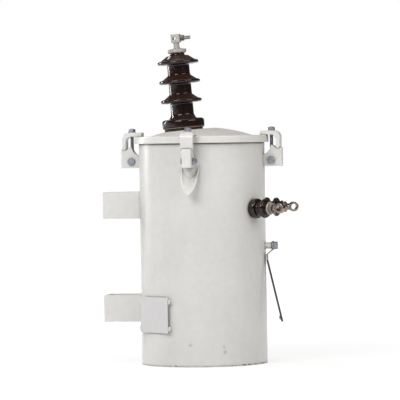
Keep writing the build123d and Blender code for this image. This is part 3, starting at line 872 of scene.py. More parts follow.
@dataclass(frozen=True)
class Paint(Finish):
    """Sprayed enamel over steel."""

    roughness: float = 0.30
    # Brown for inner corners and under the rim: grime, and painted shade where light can't reach.
    grime: Colour = (0.16, 0.115, 0.075, 1.0)
    grime_share: float = 0.75
    grime_roughness: float = 0.25
    dust: Colour = (0.50, 0.45, 0.415, 1.0)
    dust_share: float = 0.35
    dust_roughness: float = 0.35
    streak_share: float = 0.10
    bare_steel: Colour = (0.10, 0.095, 0.09, 1.0)
    wear: float = 0.42
    chip_depth: float = 0.6
    peel_depth: float = 0.00016
    seed: float = 0.0

    def draw(self, sheet: Sheet, shader: Node) -> None:
        """Draws tone, streaks, dust, grime with painted shade in crevices, chipped edges and the skin.

        Args:
            sheet: The material's sheet.
            shader: Its shader.
        """
        tone = sheet.place(Effect.MOTTLE, Scale=5.0, Amount=0.035, Seed=self.seed)
        fine = sheet.place(Effect.MOTTLE, Scale=60.0, Amount=0.02, Seed=self.seed + 3)
        streak = sheet.place(Effect.STREAKS, Fineness=26.0, Seed=self.seed)
        dust = sheet.place(Effect.DUST, Amount=self.dust_share, Grain=35.0)
        crevice = sheet.place(Effect.CREVICES, Reach=0.010, Grain=70.0)
        worn = sheet.place(Effect.EDGES, Width=0.0012, Grain=260.0, Wear=self.wear)
        skin = sheet.place(Effect.SKIN, Peel_Scale=520.0, Peel=0.25, Wave_Scale=7.0, Wave=3.0)
        colour = sheet.toned(self.colour, sheet.times(tone, fine))
        colour = sheet.blend(sheet.times(streak, self.streak_share), colour, self.dust)
        colour = sheet.blend(dust, colour, self.dust)
        # Painted shade with grime: the ambient occlusion mask darkens inner corners towards the brown.
        colour = sheet.blend(sheet.times(crevice, self.grime_share), colour, self.grime)
        sheet.feed(shader.inputs["Base Color"], sheet.blend(worn, colour, self.bare_steel))
        rough = sheet.more(self.roughness, dust, self.dust_roughness)
        rough = sheet.more(rough, crevice, self.grime_roughness)
        sheet.feed(shader.inputs["Roughness"], sheet.times(rough, fine))
        self.bump(sheet, shader, sheet.more(skin, worn, -self.chip_depth), self.peel_depth)


@dataclass(frozen=True)
class TankPaint(Paint):
    """The tank's own paint, with chips along the lower edge, a few scuffs, and a brown band under the rim
    that paints its shadow with some grime.
    """

    chips_top: tuple[float, float] = (0.003, 0.007)
    whole_side: tuple[float, float] = (-0.14, -0.04)
    rim_grime: tuple[float, float] = (0.6060, 0.6085)
    rim_grime_share: float = 0.85
    scuff_reach: tuple[float, float] = (0.001, 0.008)
    scuffs: tuple[tuple[float, float, float], ...] = (
        (-0.1739, 0.0061, 0.061), (-0.1528, -0.0830, 0.055), (-0.1515, -0.0855, 0.040),
    )

    def draw(self, sheet: Sheet, shader: Node) -> None:
        """Draws the paint, then the painted shadow with grime under the rim and the chips that bare the
        steel.

        Args:
            sheet: The material's sheet.
            shader: Its shader.
        """
        super().draw(sheet, shader)
        place = sheet.spot()
        across = sheet.add("SeparateXYZ", {"Vector": place}).outputs
        chips = sheet.noise(place, 95.0, 4.0, 0.7)
        hard = sheet.maths("SUBTRACT", chips, sheet.spread(across["Y"], *self.whole_side, 0.0, 0.07))
        low = sheet.spread(across["Z"], *self.chips_top, 1.0, 0.0)
        gone = sheet.times(low, sheet.spread(hard, 0.55, 0.58))
        specks = sheet.add("TexVoronoi", {"Vector": place, "Scale": 9.0, "Randomness": 1.0}).outputs
        few = sheet.spread(sheet.noise(place, 5.0), 0.56, 0.6)
        marks = sheet.times(sheet.spread(specks["Distance"], 0.03, 0.015, 0.0, 0.55), few)
        mask = sheet.maths("MAXIMUM", gone, marks)
        for scuff in self.scuffs:
            near = sheet.spread(sheet.measure("DISTANCE", place, scuff), *self.scuff_reach, 0.40, 0.0)
            mask = sheet.maths("MAXIMUM", mask, sheet.times(near, sheet.spread(chips, 0.44, 0.5)))
        # Painted shadow under the rim's overhang, with some grime: a brown band just below its edge.
        under_rim = sheet.spread(across["Z"], *self.rim_grime, 0.0, self.rim_grime_share)
        shaded_and_grimy = sheet.times(under_rim, sheet.spread(chips, 0.3, 0.5, 0.8))
        colour = sheet.blend(shaded_and_grimy, shader.inputs["Base Color"].links[0].from_socket, self.grime)
        sheet.feed(shader.inputs["Base Color"], sheet.blend(mask, colour, self.bare_steel))


@dataclass(frozen=True)
class Porcelain(Finish):
    """Brown glaze that runs thin and redder on edges, and is painted lighter and redder on upper faces where
    light falls.
    """

    thin: Colour = (0.027, 0.0088, 0.0056, 1.0)
    dust: Colour = (0.20, 0.13, 0.09, 1.0)
    roughness: float = 0.10
    ripple_depth: float = 0.00030

    def draw(self, sheet: Sheet, shader: Node) -> None:
        """Draws the glaze, its thin places with painted light on upper faces, a little dust and its ripples.

        Args:
            sheet: The material's sheet.
            shader: Its shader.
        """
        tone = sheet.place(Effect.MOTTLE, Scale=30.0, Amount=0.25, Seed=2.0)
        edge = sheet.place(Effect.EDGES, Width=0.004, Grain=40.0, Wear=0.8)
        dust = sheet.place(Effect.DUST, Amount=0.09, Grain=120.0)
        skin = sheet.place(Effect.SKIN, Peel_Scale=160.0, Peel=0.4, Wave_Scale=34.0, Wave=2.0)
        # Painted light: upward faces turn lighter and redder, and thin glaze on edges adds to it.
        thin = sheet.times(sheet.spread(sheet.upward(), 0.25, 0.9), tone)
        thin = sheet.maths("MINIMUM", sheet.more(thin, edge, 0.35), 1.0)
        colour = sheet.blend(dust, sheet.blend(thin, self.colour, self.thin), self.dust)
        sheet.feed(shader.inputs["Base Color"], colour)
        sheet.feed(shader.inputs["Roughness"], sheet.more(self.roughness, dust, 0.9))
        sheet.feed(shader.inputs["Specular IOR Level"], 0.5)
        self.bump(sheet, shader, skin, self.ripple_depth)


@dataclass(frozen=True)
class Rubber(Finish):
    """Gasket rubber or cork."""

    roughness: float = 0.6
    grain_depth: float = 0.00012

    def draw(self, sheet: Sheet, shader: Node) -> None:
        """Draws a dull, slightly dusty skin.

        Args:
            sheet: The material's sheet.
            shader: Its shader.
        """
        tone = sheet.place(Effect.MOTTLE, Scale=180.0, Amount=0.25, Seed=1.0)
        skin = sheet.place(Effect.SKIN, Peel_Scale=900.0, Peel=1.0, Wave_Scale=120.0, Wave=1.0)
        sheet.feed(shader.inputs["Base Color"], sheet.toned(self.colour, tone))
        sheet.feed(shader.inputs["Roughness"], sheet.times(tone, self.roughness))
        self.bump(sheet, shader, skin, self.grain_depth)


@dataclass(frozen=True)
class Metal(Finish):
    """Bare or plated metal."""

    roughness: float = 0.35
    # Dark colour for inner corners: stains, and painted shade where light can't reach.
    stain: Colour = (0.20, 0.13, 0.08, 1.0)
    stain_share: float = 0.5
    stain_roughness: float = 0.4
    metallic: float = 1.0
    spangle: float = 0.14
    bright_edge: float = 0.35
    rubbed: Colour = grey(0.75)
    grain_depth: float = 0.00006

    def draw(self, sheet: Sheet, shader: Node) -> None:
        """Draws the metal's spangle, the stains and painted shade in its corners and its bright edges.

        Args:
            sheet: The material's sheet.
            shader: Its shader.
        """
        tone = sheet.place(Effect.MOTTLE, Scale=90.0, Amount=self.spangle, Seed=4.0)
        broad = sheet.place(Effect.MOTTLE, Scale=22.0, Amount=0.7 * self.spangle, Seed=7.0)
        crevice = sheet.place(Effect.CREVICES, Reach=0.006, Grain=140.0)
        worn = sheet.place(Effect.EDGES, Width=0.0008, Grain=300.0, Wear=0.6)
        skin = sheet.place(Effect.SKIN, Peel_Scale=700.0, Peel=1.0, Wave_Scale=90.0, Wave=1.0)
        both = sheet.times(tone, broad)
        # Painted shade with stains: the ambient occlusion mask darkens inner corners.
        stained_and_shaded = sheet.times(crevice, self.stain_share)
        colour = sheet.blend(stained_and_shaded, sheet.toned(self.colour, both), self.stain)
        colour = sheet.blend(sheet.times(worn, self.bright_edge), colour, self.rubbed)
        rough = sheet.more(sheet.times(both, self.roughness), stained_and_shaded, self.stain_roughness)
        sheet.feed(shader.inputs["Base Color"], colour)
        sheet.feed(shader.inputs["Roughness"], rough)
        sheet.feed(shader.inputs["Metallic"], sheet.more(self.metallic, stained_and_shaded, -0.8 * self.metallic))
        self.bump(sheet, shader, skin, self.grain_depth)


TANK_PAINT = TankPaint("tank_enamel", "tank_paint", (0.648, 0.642, 0.626, 1.0))
FITTING_PAINT = Paint(
    "fitting_enamel", "tank_paint", (0.680, 0.673, 0.650, 1.0), grime_share=0.5, dust_share=0.5, seed=5.0,
)
PORCELAIN = Porcelain("brown_glaze", "porcelain", (0.0135, 0.0060, 0.0045, 1.0))
RUBBER = Rubber("black_gasket", "gasket_rubber", grey(0.008))
CORK = Rubber("cork_seat", "gasket_rubber", (0.33, 0.22, 0.13, 1.0))
ZINC = Metal("zinc_plate", "zinc_steel", (0.325, 0.350, 0.405, 1.0), roughness=0.40)
TERMINAL = Metal(
    "tinned_bronze", "terminal_metal", (0.40, 0.39, 0.365, 1.0), roughness=0.55, metallic=0.4,
    spangle=0.04, bright_edge=0.0,
)
# Near-black over most of the crevice mask: painted shade that gives the connectors their dark contrast, with
# some staining.
WEATHERED = Metal(
    "weathered_bronze", "terminal_metal", (0.30, 0.26, 0.232, 1.0), roughness=0.22, stain_share=0.9,
    stain=(0.03, 0.016, 0.010, 1.0), spangle=0.22,
)
PLATE = Metal(
    "plate_aluminium", "nameplate_metal", (0.63, 0.616, 0.620, 1.0), roughness=0.55, metallic=0.1,
    spangle=0.012,
)
COPPER = Metal(
    "weathered_copper", "copper", (0.095, 0.045, 0.033, 1.0), roughness=0.30, metallic=0.8,
    stain_share=0.6, stain=(0.05, 0.025, 0.02, 1.0),
)


def add_piece(name: str, mesh: Mesh, finish: Finish, nodes: Sequence[str] = (), sharp: float = 35) -> None:
    """Makes a finished piece of a mesh, riding on the root body, and uses the mesh up.

    Args:
        name: The piece's name.
        mesh: Its shape, in place.
        finish: What it is finished with.
        nodes: The frame's nodes that it stands for.
        sharp: Angle in degrees past which an edge stays crisp.
    """
    data = mesh_data(name, mesh)
    data.polygons.foreach_set("use_smooth", [True] * len(data.polygons))
    data.set_sharp_from_angle(angle=radians(sharp))
    data.materials.append(finish.material())
    piece = in_scene(name, data)
    evened = piece.modifiers.new("even_shading", "WEIGHTED_NORMAL")
    evened.keep_sharp = True
    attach(piece, "root")
    if nodes:
        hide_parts(*nodes)
    LOG.info("%s: %d faces", name, len(data.polygons))


@dataclass
class TankBody:
    """Rolled shell with its seam, bottom plate and the ring round its mouth."""

    wall: float = 0.003
    edge_rounding: float = 0.0007
    bottom_recess: float = 0.020
    bottom_thickness: float = 0.004
    bottom_rounding: float = 0.0004
    ring_rounding: float = 0.0015
    seam_angle: float = 118.0
    seam_sink: float = 0.0022
    seam_margin: float = 0.004
    seam: WeldBead = WeldBead(radius=0.0030, swell=0.06)
    bottom_bead: WeldBead = WeldBead(ripple=0.004)
    bottom_bead_sink: float = 0.0005
    hole_radius: float = 0.016
    hole_height: float = 0.429
    hole_angles: tuple[float, float] = (244.0, 296.0)
    hole_guard: float = 0.021

    def __post_init__(self) -> None:
        """Reads the shell's size from the frame."""
        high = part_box("tank_shell")[1]
        self.radius = high.x
        self.height = high.z
        self.inner = self.radius - self.wall
        self.ring_low, self.ring_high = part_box("tank_top_ring")

    def build(self) -> None:
        """Builds every piece of the tank."""
        add_piece("rolled_shell", self.shell_mesh(), TANK_PAINT, ["tank_shell"])
        add_piece("bottom_plate", self.bottom_mesh(), TANK_PAINT, ["tank_bottom"])
        add_piece("mouth_ring", self.ring_mesh(), TANK_PAINT, ["tank_top_ring"])
        add_piece("shell_welds", self.weld_mesh(), TANK_PAINT)

    def shell_mesh(self) -> Mesh:
        """The shell's sheet, with a round hole for each low-voltage bushing."""
        edge = self.edge_rounding
        mesh = spun([
            (self.radius, 0, edge), (self.radius, self.height, edge), (self.inner, self.height, edge),
            (self.inner, 0, edge),
        ], UPRIGHT, TANK_STEPS, closed=True, arcs=3)
        for way in (-1, 1):
            bisected(mesh, (0, 0, self.hole_height + way * self.hole_guard), UP, keep_both=True)
        for angle in self.hole_angles:
            placing = wall_placing(angle, self.hole_height, self.inner - 2 * self.wall)
            mesh = shaped(mesh, cylinder(self.hole_radius, 0, 6 * self.wall, placing, 48))
        return mesh

    def bottom_mesh(self) -> Mesh:
        """The flat bottom, set up inside the shell."""
        low, high = self.bottom_recess, self.bottom_recess + self.bottom_thickness
        return cylinder(self.inner, low, high, UPRIGHT, TANK_STEPS, self.bottom_rounding)

    def ring_mesh(self) -> Mesh:
        """The ring that stiffens the mouth, under the cover's rim."""
        roundings = (self.ring_rounding, self.ring_rounding)
        low, high = self.ring_low, self.ring_high
        return flat_ring(self.radius, high.x, low.z, high.z, UPRIGHT, roundings, TANK_STEPS)

    def weld_mesh(self) -> Mesh:
        """The shell's upright seam and the ring weld of its bottom, inside the skirt."""
        foot = outward_at(self.seam_angle) * (self.radius - self.seam_sink) + UP * self.seam_margin
        head = Vector((foot.x, foot.y, self.ring_low.z - self.seam_margin))
        seam = self.seam.along([foot, head])
        reach = self.inner - self.bottom_bead_sink
        steps = 96
        around = [
            on_circle(reach, 2 * pi * step / steps).to_3d() + UP * self.bottom_recess for step in range(steps)
        ]
        return together(seam, self.bottom_bead.along(around, looped=True))


@dataclass
class CoverAssembly:
    """Domed cover, its gasket and the flat seat pressed into it for the bushing."""

    sheet: float = 0.003
    dome_radius: float = 0.141
    dome_rise: float = 0.0235
    dome_steps: int = 40
    lap: float = 0.0006
    rim_bend: float = 0.0045
    edge_rounding: float = 0.0011
    pad_height: float = 0.01398
    pad_radius: float = 0.058
    pad_flare: float = 2.0
    pad_bend: float = 0.03
    hv_offset: float = 0.04916
    hv_lean: float = 4.23
    hole_radius: float = 0.0305
    seat: float = 0.6276
    gasket_inner: float = 0.171
    gasket_bulge: float = 0.0012
    bolt_gap: float = 0.011

    def __post_init__(self) -> None:
        """Reads the cover's size from the frame and works out the bushing's lean."""
        low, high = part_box("cover")
        self.rim_radius = high.x
        self.rim_edge = low.z
        self.bolt_line = self.rim_radius + self.bolt_gap
        self.top = self.seat + self.sheet
        self.rim_inner = self.rim_radius - self.sheet
        self.sphere = (self.dome_radius**2 + self.dome_rise**2) / (2 * self.dome_rise)
        self.centre = self.top + self.dome_rise - self.sphere
        self.pad_centre = Vector((0, self.hv_offset, self.top + self.pad_height))

    @property
    def pad_placing(self) -> Matrix:
        """Placing on top of the pad, with Z along the bushing."""
        lean = radians(self.hv_lean)
        return placing_of(self.pad_centre, Vector((1, 0, 0)), Vector((0, cos(lean), -sin(lean))))

    def build(self) -> None:
        """Builds the cover and its gasket."""
        add_piece("domed_cover", self.cover_mesh(), FITTING_PAINT, ["cover"], sharp=50)
        add_piece("mouth_gasket", self.gasket_mesh(), RUBBER, ["cover_gasket"])

    def dome_mesh(self, drop: float) -> Mesh:
        """Solid under one surface of the dome, with the seat taken out of it.

        Args:
            drop: How far that surface lies under the outer one.

        Returns:
            Its mesh.
        """
        ball = self.sphere - drop
        outs = [self.dome_radius * step / self.dome_steps for step in range(self.dome_steps + 1)]
        crown = [(out, self.centre + sqrt(ball**2 - out**2)) for out in outs]
        floor = self.seat - 0.001 - drop
        cap = spun([*crown, (self.dome_radius, floor), (0, floor)], UPRIGHT, TANK_STEPS)
        far = 0.7 * self.dome_radius
        rise = far * tan(radians(self.pad_flare))
        edge, clear = self.pad_radius + far, 0.05
        bend = (self.pad_radius, -drop, self.pad_bend)
        seat = [(0, -drop), bend, (edge, rise - drop), (edge, clear), (0, clear)]
        return shaped(cap, spun(seat, self.pad_placing, TANK_STEPS, arcs=6))

    def cover_mesh(self) -> Mesh:
        """The dome with its seat and hole, joined to the margin and rim."""
        dome = shaped(self.dome_mesh(0), self.dome_mesh(self.sheet))
        depth = 4 * self.sheet
        dome = shaped(dome, cylinder(self.hole_radius, -depth, depth, self.pad_placing, 64))
        edge = self.edge_rounding
        inside = self.dome_radius - self.lap
        rim = spun([
            (inside, self.top), (self.rim_radius, self.top, self.rim_bend),
            (self.rim_radius, self.rim_edge, edge), (self.rim_inner, self.rim_edge, edge),
            (self.rim_inner, self.seat, self.rim_bend - self.sheet), (inside, self.seat),
        ], UPRIGHT, TANK_STEPS, closed=True, arcs=6)
        return shaped(dome, rim, Cut.JOIN)

    def gasket_mesh(self) -> Mesh:
        """The ring gasket on the tank's mouth."""
        low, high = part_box("cover_gasket")
        bulges = (self.gasket_bulge, self.gasket_bulge)
        return flat_ring(self.gasket_inner, high.x, low.z, high.z, UPRIGHT, bulges, TANK_STEPS)


@dataclass
class HighVoltageBushing:
    """Porcelain bushing on the cover, with its seat, cap and stem."""

    placing: Matrix
    gasket_radius: float = 0.053
    gasket_thickness: float = 0.0095
    gasket_rounding: float = 0.0012
    cork_thickness: float = 0.0014
    cork_radius: float = 0.0572
    cork_rounding: float = 0.0003
    shank_radius: float = 0.029
    shank_length: float = 0.055
    shank_play: float = 0.0015
    collar_radius: float = 0.0585
    collar_top: float = 0.0332
    collar_run: float = 0.006
    core_radius: float = 0.0320
    core_taper: float = 0.0015
    core_foot: float = 0.012
    shed_radius: float = 0.0570
    shed_tip: float = 0.0044
    shed_slope: float = 0.0195
    shed_hollow: float = 0.0004
    first_shed: float = 0.0826
    shed_pitch: float = 0.05355
    shed_count: int = 3
    neck_radius: float = 0.0205
    neck_top: float = 0.217
    groove_depth: float = 0.0014
    groove_width: float = 0.0024
    cap_radius: float = 0.0262
    cap_height: float = 0.0115
    stem_radius: float = 0.0085
    stem_height: float = 0.0175

    def build(self) -> None:
        """Builds the bushing's pieces from the seat up."""
        low, high = self.gasket_thickness - self.cork_thickness, self.gasket_thickness
        gasket = self.seat_ring(self.gasket_radius, 0, low, self.gasket_rounding)
        cork = self.seat_ring(self.cork_radius, low, high, self.cork_rounding)
        add_piece("bushing_gasket", gasket, RUBBER, ["hv_gasket"])
        add_piece("bushing_cork", cork, CORK)
        add_piece("bushing_porcelain", self.porcelain_mesh(), PORCELAIN, ["hv_porcelain"], sharp=60)
        add_piece("bushing_cap", self.cap_mesh(), TERMINAL, ["hv_cap"])

    def seat_ring(self, radius: float, low: float, high: float, rounding: float) -> Mesh:
        """Flat ring round the shank, rounded alike on both outer edges."""
        inner = self.shank_radius + self.shank_play
        return flat_ring(inner, radius, low, high, self.placing, (rounding, rounding))

    def porcelain_mesh(self) -> Mesh:
        """The porcelain: shank, collar, tapering core with drooping sheds, and grooved neck."""
        foot, top = self.gasket_thickness, self.collar_top
        last_tip = self.first_shed + (self.shed_count - 1) * self.shed_pitch
        corners: list[Corner] = [
            (0, -self.shank_length), (self.shank_radius, -self.shank_length, 0.003),
            (self.shank_radius, foot, 0.0005), (self.collar_radius, foot, 0.0028),
            (self.collar_radius, top, 0.0075), (self.core_radius + self.collar_run, top + 0.0006, 0.009),
            (self.core_radius, top + self.core_foot, 0.008),
        ]
        for index in range(self.shed_count):
            tip = self.first_shed + index * self.shed_pitch
            share = (tip - self.collar_top) / (last_tip - self.collar_top)
            corners += self.shed_corners(tip, self.core_radius - self.core_taper * share)
        neck_foot = last_tip + self.shed_slope
        groove = neck_foot + 0.0054
        corners += [
            (self.neck_radius, neck_foot + 0.0015, 0.003),
            (self.neck_radius, groove - self.groove_width / 2, 0.0008),
            (self.neck_radius - self.groove_depth, groove, 0.0008),
            (self.neck_radius, groove + self.groove_width / 2, 0.0008),
            (self.neck_radius, self.neck_top, 0.001), (0, self.neck_top),
        ]
        return spun(corners, self.placing, 128, arcs=6)

    def shed_corners(self, tip: float, core: float) -> list[Corner]:
        """Corners of one shed, from the core under it round its tip and back up to the core.

        Args:
            tip: Height of the middle of its tip.
            core: Radius of the core there.

        Returns:
            The corners, with a drip groove under the tip.
        """
        under, over = tip - self.shed_tip, tip + self.shed_tip
        lip = self.shed_radius - 2 * self.shed_tip
        corners: list[Corner] = [
            (core, under, 0.004), (lip - 0.010, under + 0.0004, 0.002), (lip - 0.006, under + 0.0022, 0.002),
            (lip - 0.002, under + 0.0002, 0.0015), (self.shed_radius, under, self.shed_tip),
            (self.shed_radius, over, self.shed_tip * 0.9),
        ]
        crest = self.shed_radius - self.shed_tip
        for share in (0.25, 0.5, 0.75):
            sag = 4 * share * (1 - share) * self.shed_hollow
            rise = (self.shed_slope - self.shed_tip) * share
            corners.append((crest - (crest - core) * share, over + rise - sag))
        return corners + [(core, tip + self.shed_slope, 0.005)]

    def cap_mesh(self) -> Mesh:
        """The cast cap on the neck and the stem that carries the terminal."""
        low, high = self.neck_top, self.neck_top + self.cap_height
        top = high + self.stem_height
        return spun([
            (0, low), (self.cap_radius - 0.0015, low, 0.001), (self.cap_radius, low + 0.0025, 0.001),
            (self.cap_radius, high - 0.0012, 0.0018), (self.cap_radius - 0.008, high, 0.003),
            (self.stem_radius + 0.0015, high + 0.001, 0.002), (self.stem_radius, high + 0.0045, 0.002),
            (self.stem_radius, top), (0, top),
        ], self.placing, 72)


@dataclass
class TerminalAssembly:
    """Eyebolt terminal on top of the high-voltage bushing."""

    placing: Matrix
    base: float = 0.246
    width: float = 0.025
    depth: float = 0.024
    height: float = 0.0233
    corner: float = 0.003
    block_rounding: float = 0.0008
    eye_thickness: float = 0.009
    eye_radius: float = 0.0085
    eye_offset: float = 0.0032
    eye_rounding: float = 0.0006
    conductor_radius: float = 0.0048
    stud_radius: float = 0.0053
    stud_start: float = 0.004
    stud_reach: float = 0.028
    nut_size: float = 0.0162
    nut_height: float = 0.0105
    clearance: float = 0.0005
    pitch: float = 0.0015

    def __post_init__(self) -> None:
        """Works out the placings at the block's centre, along the conductor and along the thread."""
        middle = self.placing @ Vector((0, 0, self.base + self.height / 2))
        across, thread, upward = self.placing.to_3x3().transposed()
        self.cross = placing_of(middle, -thread, upward)
        self.along_stud = placing_of(middle, across, upward)

    def build(self) -> None:
        """Builds the block, its eyebolt and its nut."""
        add_piece("terminal_block", self.block_mesh(), TERMINAL, ["hv_terminal_block"])
        add_piece("terminal_eyebolt", self.eyebolt_mesh(), TERMINAL, ["hv_eyebolt"])
        nut = hexagon(self.nut_size, self.width / 2, self.width / 2 + self.nut_height, self.along_stud)
        add_piece("terminal_nut", nut, WEATHERED, ["hv_terminal_nut"], sharp=25)

    def eye_rod(self, radius: float, reach: float) -> Mesh:
        """Plain rod along the conductor, through the eye's middle, as far each way as its reach."""
        return cylinder(radius, -reach, reach, self.cross @ Matrix.Translation((-self.eye_offset, 0, 0)))

    def block_mesh(self) -> Mesh:
        """The slotted block, with bores for the conductor and the thread."""
        outline = rectangle(self.depth, self.width, self.corner)
        block = prism(outline, self.placing, self.base, self.base + self.height, arcs=4)
        soften(block, self.block_rounding, 2)
        slot = self.eye_thickness / 2 + self.clearance
        inner, outer, tall = -self.eye_offset, -self.width, self.height
        gap = [(inner, -tall), (inner, tall), (outer, tall), (outer, -tall)]
        block = shaped(block, prism(gap, self.cross, -slot, slot))
        block = shaped(block, self.eye_rod(self.eye_radius + self.clearance, slot))
        block = shaped(block, self.eye_rod(self.conductor_radius, self.depth))
        return shaped(block, cylinder(self.stud_radius + self.clearance, 0, self.width, self.along_stud))

    def eyebolt_mesh(self) -> Mesh:
        """The eye that holds the conductor, and its thread."""
        eye = self.eye_rod(self.eye_radius, self.eye_thickness / 2)
        soften(eye, self.eye_rounding, 2)
        end = self.width / 2 + self.stud_reach
        thread = threaded_rod(self.stud_radius, self.stud_start, end, self.pitch, self.along_stud)
        bolt = shaped(eye, thread, Cut.JOIN)
        return shaped(bolt, self.eye_rod(self.conductor_radius, self.eye_thickness))


@dataclass
class CoverClamp:
    """One of four clamps: bracket on the wall, hook over the rim, eyebolt and cross bolt."""

    side: Side
    tank_radius: float
    cover_top: float
    bolt_line: float
    bracket_width: float = 0.025
    bracket_plate: float = 0.004
    bracket_drop: float = 0.0868
    bracket_rounding: float = 0.0006
    wall_margin: float = 0.001
    shoulder: float = 0.0319
    peak: float = 0.0582
    peak_width: float = 0.0048
    peak_rounding: float = 0.0015
    arc_radius: float = 0.036
    arc_steps: int = 14
    bracket_bend: float = 0.005
    notch_height: float = 0.0496
    notch_width: float = 0.0211
    notch_floor: float = 0.0123
    notch_rounding: float = 0.002
    lip_height: float = 0.0022
    lip_thickness: float = 0.0040
    hook_thickness: float = 0.0115
    hook_bend: float = 0.018
    hook_inner_bend: float = 0.013
    hook_tip_rounding: float = 0.002
    hook_rounding: float = 0.0022
    hook_play: float = 0.0003
    bolt_radius: float = 0.005
    clearance: float = 0.0005
    eye_radius: float = 0.011
    eye_thickness: float = 0.014
    eye_rounding: float = 0.0025
    thread_sink: float = 0.002
    nut_size: float = 0.017
    nut_height: float = 0.0068
    washer_radius: float = 0.0105
    washer_height: float = 0.003
    washer_roundings: tuple[float, float] = (0.0004, 0.0009)
    washer_play: float = 0.0002
    bolt_end: float = 0.0012
    pin_rise: float = 0.0177
    pin_radius: float = 0.006
    head_size: float = 0.0184
    head_height: float = 0.008
    pin_sink: float = 0.001
    pin_end: float = 0.003
    pitch: float = 0.0015
    pin_pitch: float = 0.00175
    weld: WeldBead = WeldBead(radius=0.0022)
    weld_offset: float = 0.0004
    weld_ends: tuple[float, float] = (0.002, 0.001)

    def __post_init__(self) -> None:
        """Works out the levels and distances of the clamp."""
        outward = self.side.outward
        across = UP.cross(outward)
        low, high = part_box(f"clamp_bracket_{self.side.node_end}")
        self.bracket_radius = max(low.dot(outward), high.dot(outward))
        hook_low, hook_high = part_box(f"clamp_hook_{self.side.node_end}")
        self.hook_tip = min(hook_low.dot(outward), hook_high.dot(outward))
        self.hook_width = abs(hook_high.dot(across) - hook_low.dot(across))
        self.placing = radial_placing(self.side.value)
        self.bottom = self.cover_top - self.bracket_drop
        self.floor = self.bottom + self.notch_height
        self.notch_outer = self.bracket_radius - self.lip_thickness
        self.notch_inner = self.notch_outer - self.notch_width
        self.leg_outer = self.notch_outer - self.hook_play
        self.leg_inner = self.leg_outer - self.hook_thickness
        self.hook_top = self.cover_top + self.hook_thickness
        self.pin_height = self.bottom + self.pin_rise
        self.pin_placing = self.placing @ Matrix.Translation((self.bolt_line, self.pin_height, 0))

    def build(self) -> None:
        """Builds the clamp's four pieces and the bracket's welds."""
        end = self.side.node_end
        add_piece(f"bracket_{end}", self.bracket_mesh(), FITTING_PAINT, [f"clamp_bracket_{end}"])
        add_piece(f"bracket_welds_{end}", self.weld_mesh(), FITTING_PAINT)
        add_piece(f"hook_{end}", self.hook_mesh(), FITTING_PAINT, [f"clamp_hook_{end}"], sharp=45)
        add_piece(f"eyebolt_{end}", self.bolt_mesh(), ZINC, [f"clamp_bolt_{end}"], sharp=25)
        add_piece(f"cross_bolt_{end}", self.pin_mesh(), ZINC, [f"clamp_pin_{end}"], sharp=25)

    def cheek_outline(self) -> list[Vector]:
        """Outline of the bracket's cheeks: foot, lip, notch, peak and curved shoulder."""
        inside = self.tank_radius - 2 * self.bracket_plate
        lip = self.floor + self.lip_height
        peak = self.bottom + self.peak
        shoulder = self.bottom + self.shoulder
        arc_start = self.notch_inner - self.peak_width
        outline = rounded([
            (inside, self.bottom), (self.bracket_radius, self.bottom), (self.bracket_radius, lip),
            (self.notch_outer, lip), (self.notch_outer, self.floor),
            (self.notch_outer - self.notch_floor, self.floor, self.notch_rounding),
            (self.notch_inner, peak, self.peak_rounding), (arc_start, peak),
        ], closed=False, steps=3)
        arc = bulging_arc(
            Vector((arc_start, peak)), Vector((self.tank_radius, shoulder)), self.arc_radius, self.arc_steps
        )
        return outline[:-1] + arc + [Vector((inside, shoulder))]

    def bracket_mesh(self) -> Mesh:
        """The folded channel: cheeks with a curved shoulder, and a web with a notch for the hook."""
        half, plate = self.bracket_width / 2, self.bracket_plate
        block = prism(self.cheek_outline(), self.placing, -half, half)
        outward = self.placing.to_3x3().col[0]
        soften(block, self.bracket_bend, 5, [
            edge for edge in block.edges
            if all(abs(vert.co.dot(outward) - self.bracket_radius) < MERGE for vert in edge.verts)
            and abs(edge.verts[0].co.z - edge.verts[1].co.z) > plate
        ])
        face, low, high = self.bracket_radius - plate, self.bottom - plate, self.bottom + 2 * self.peak
        hollow = [(0, low), (face, low), (face, high), (0, high)]
        block = shaped(block, prism(hollow, self.placing, -half + plate, half - plate))
        block = shaped(block, self.cross_rod(self.pin_radius + self.clearance, self.bracket_width))
        block = coped(block, self.tank_radius, self.cover_top)
        return soften(block, self.bracket_rounding, 2, [
            edge for edge in sharp_edges(block)
            if min(vert.co.dot(outward) for vert in edge.verts) > self.tank_radius + self.wall_margin
        ])

    def cross_rod(self, radius: float, reach: float) -> Mesh:
        """Plain rod across the bracket at the cross bolt, as far each way as its reach."""
        return cylinder(radius, -reach, reach, self.pin_placing)

    def hook_mesh(self) -> Mesh:
        """The cast hook: an arm over the rim, a round elbow and a leg in the bracket's notch."""
        thick = self.hook_thickness
        foot = thick / 2 * 0.98
        outline = [
            (self.hook_tip, self.cover_top), (self.leg_inner, self.cover_top, self.hook_inner_bend),
            (self.leg_inner, self.floor, foot), (self.leg_outer, self.floor, foot),
            (self.leg_outer, self.hook_top, self.hook_bend),
            (self.hook_tip, self.hook_top, self.hook_tip_rounding),
        ]
        half = self.hook_width / 2
        hook = soften(prism(outline, self.placing, -half, half, arcs=8), self.hook_rounding, 4)
        place = upright_placing(self.side.value, self.bolt_line, self.cover_top - 2 * thick)
        return shaped(hook, cylinder(self.bolt_radius + self.clearance, 0, 4 * thick, place))

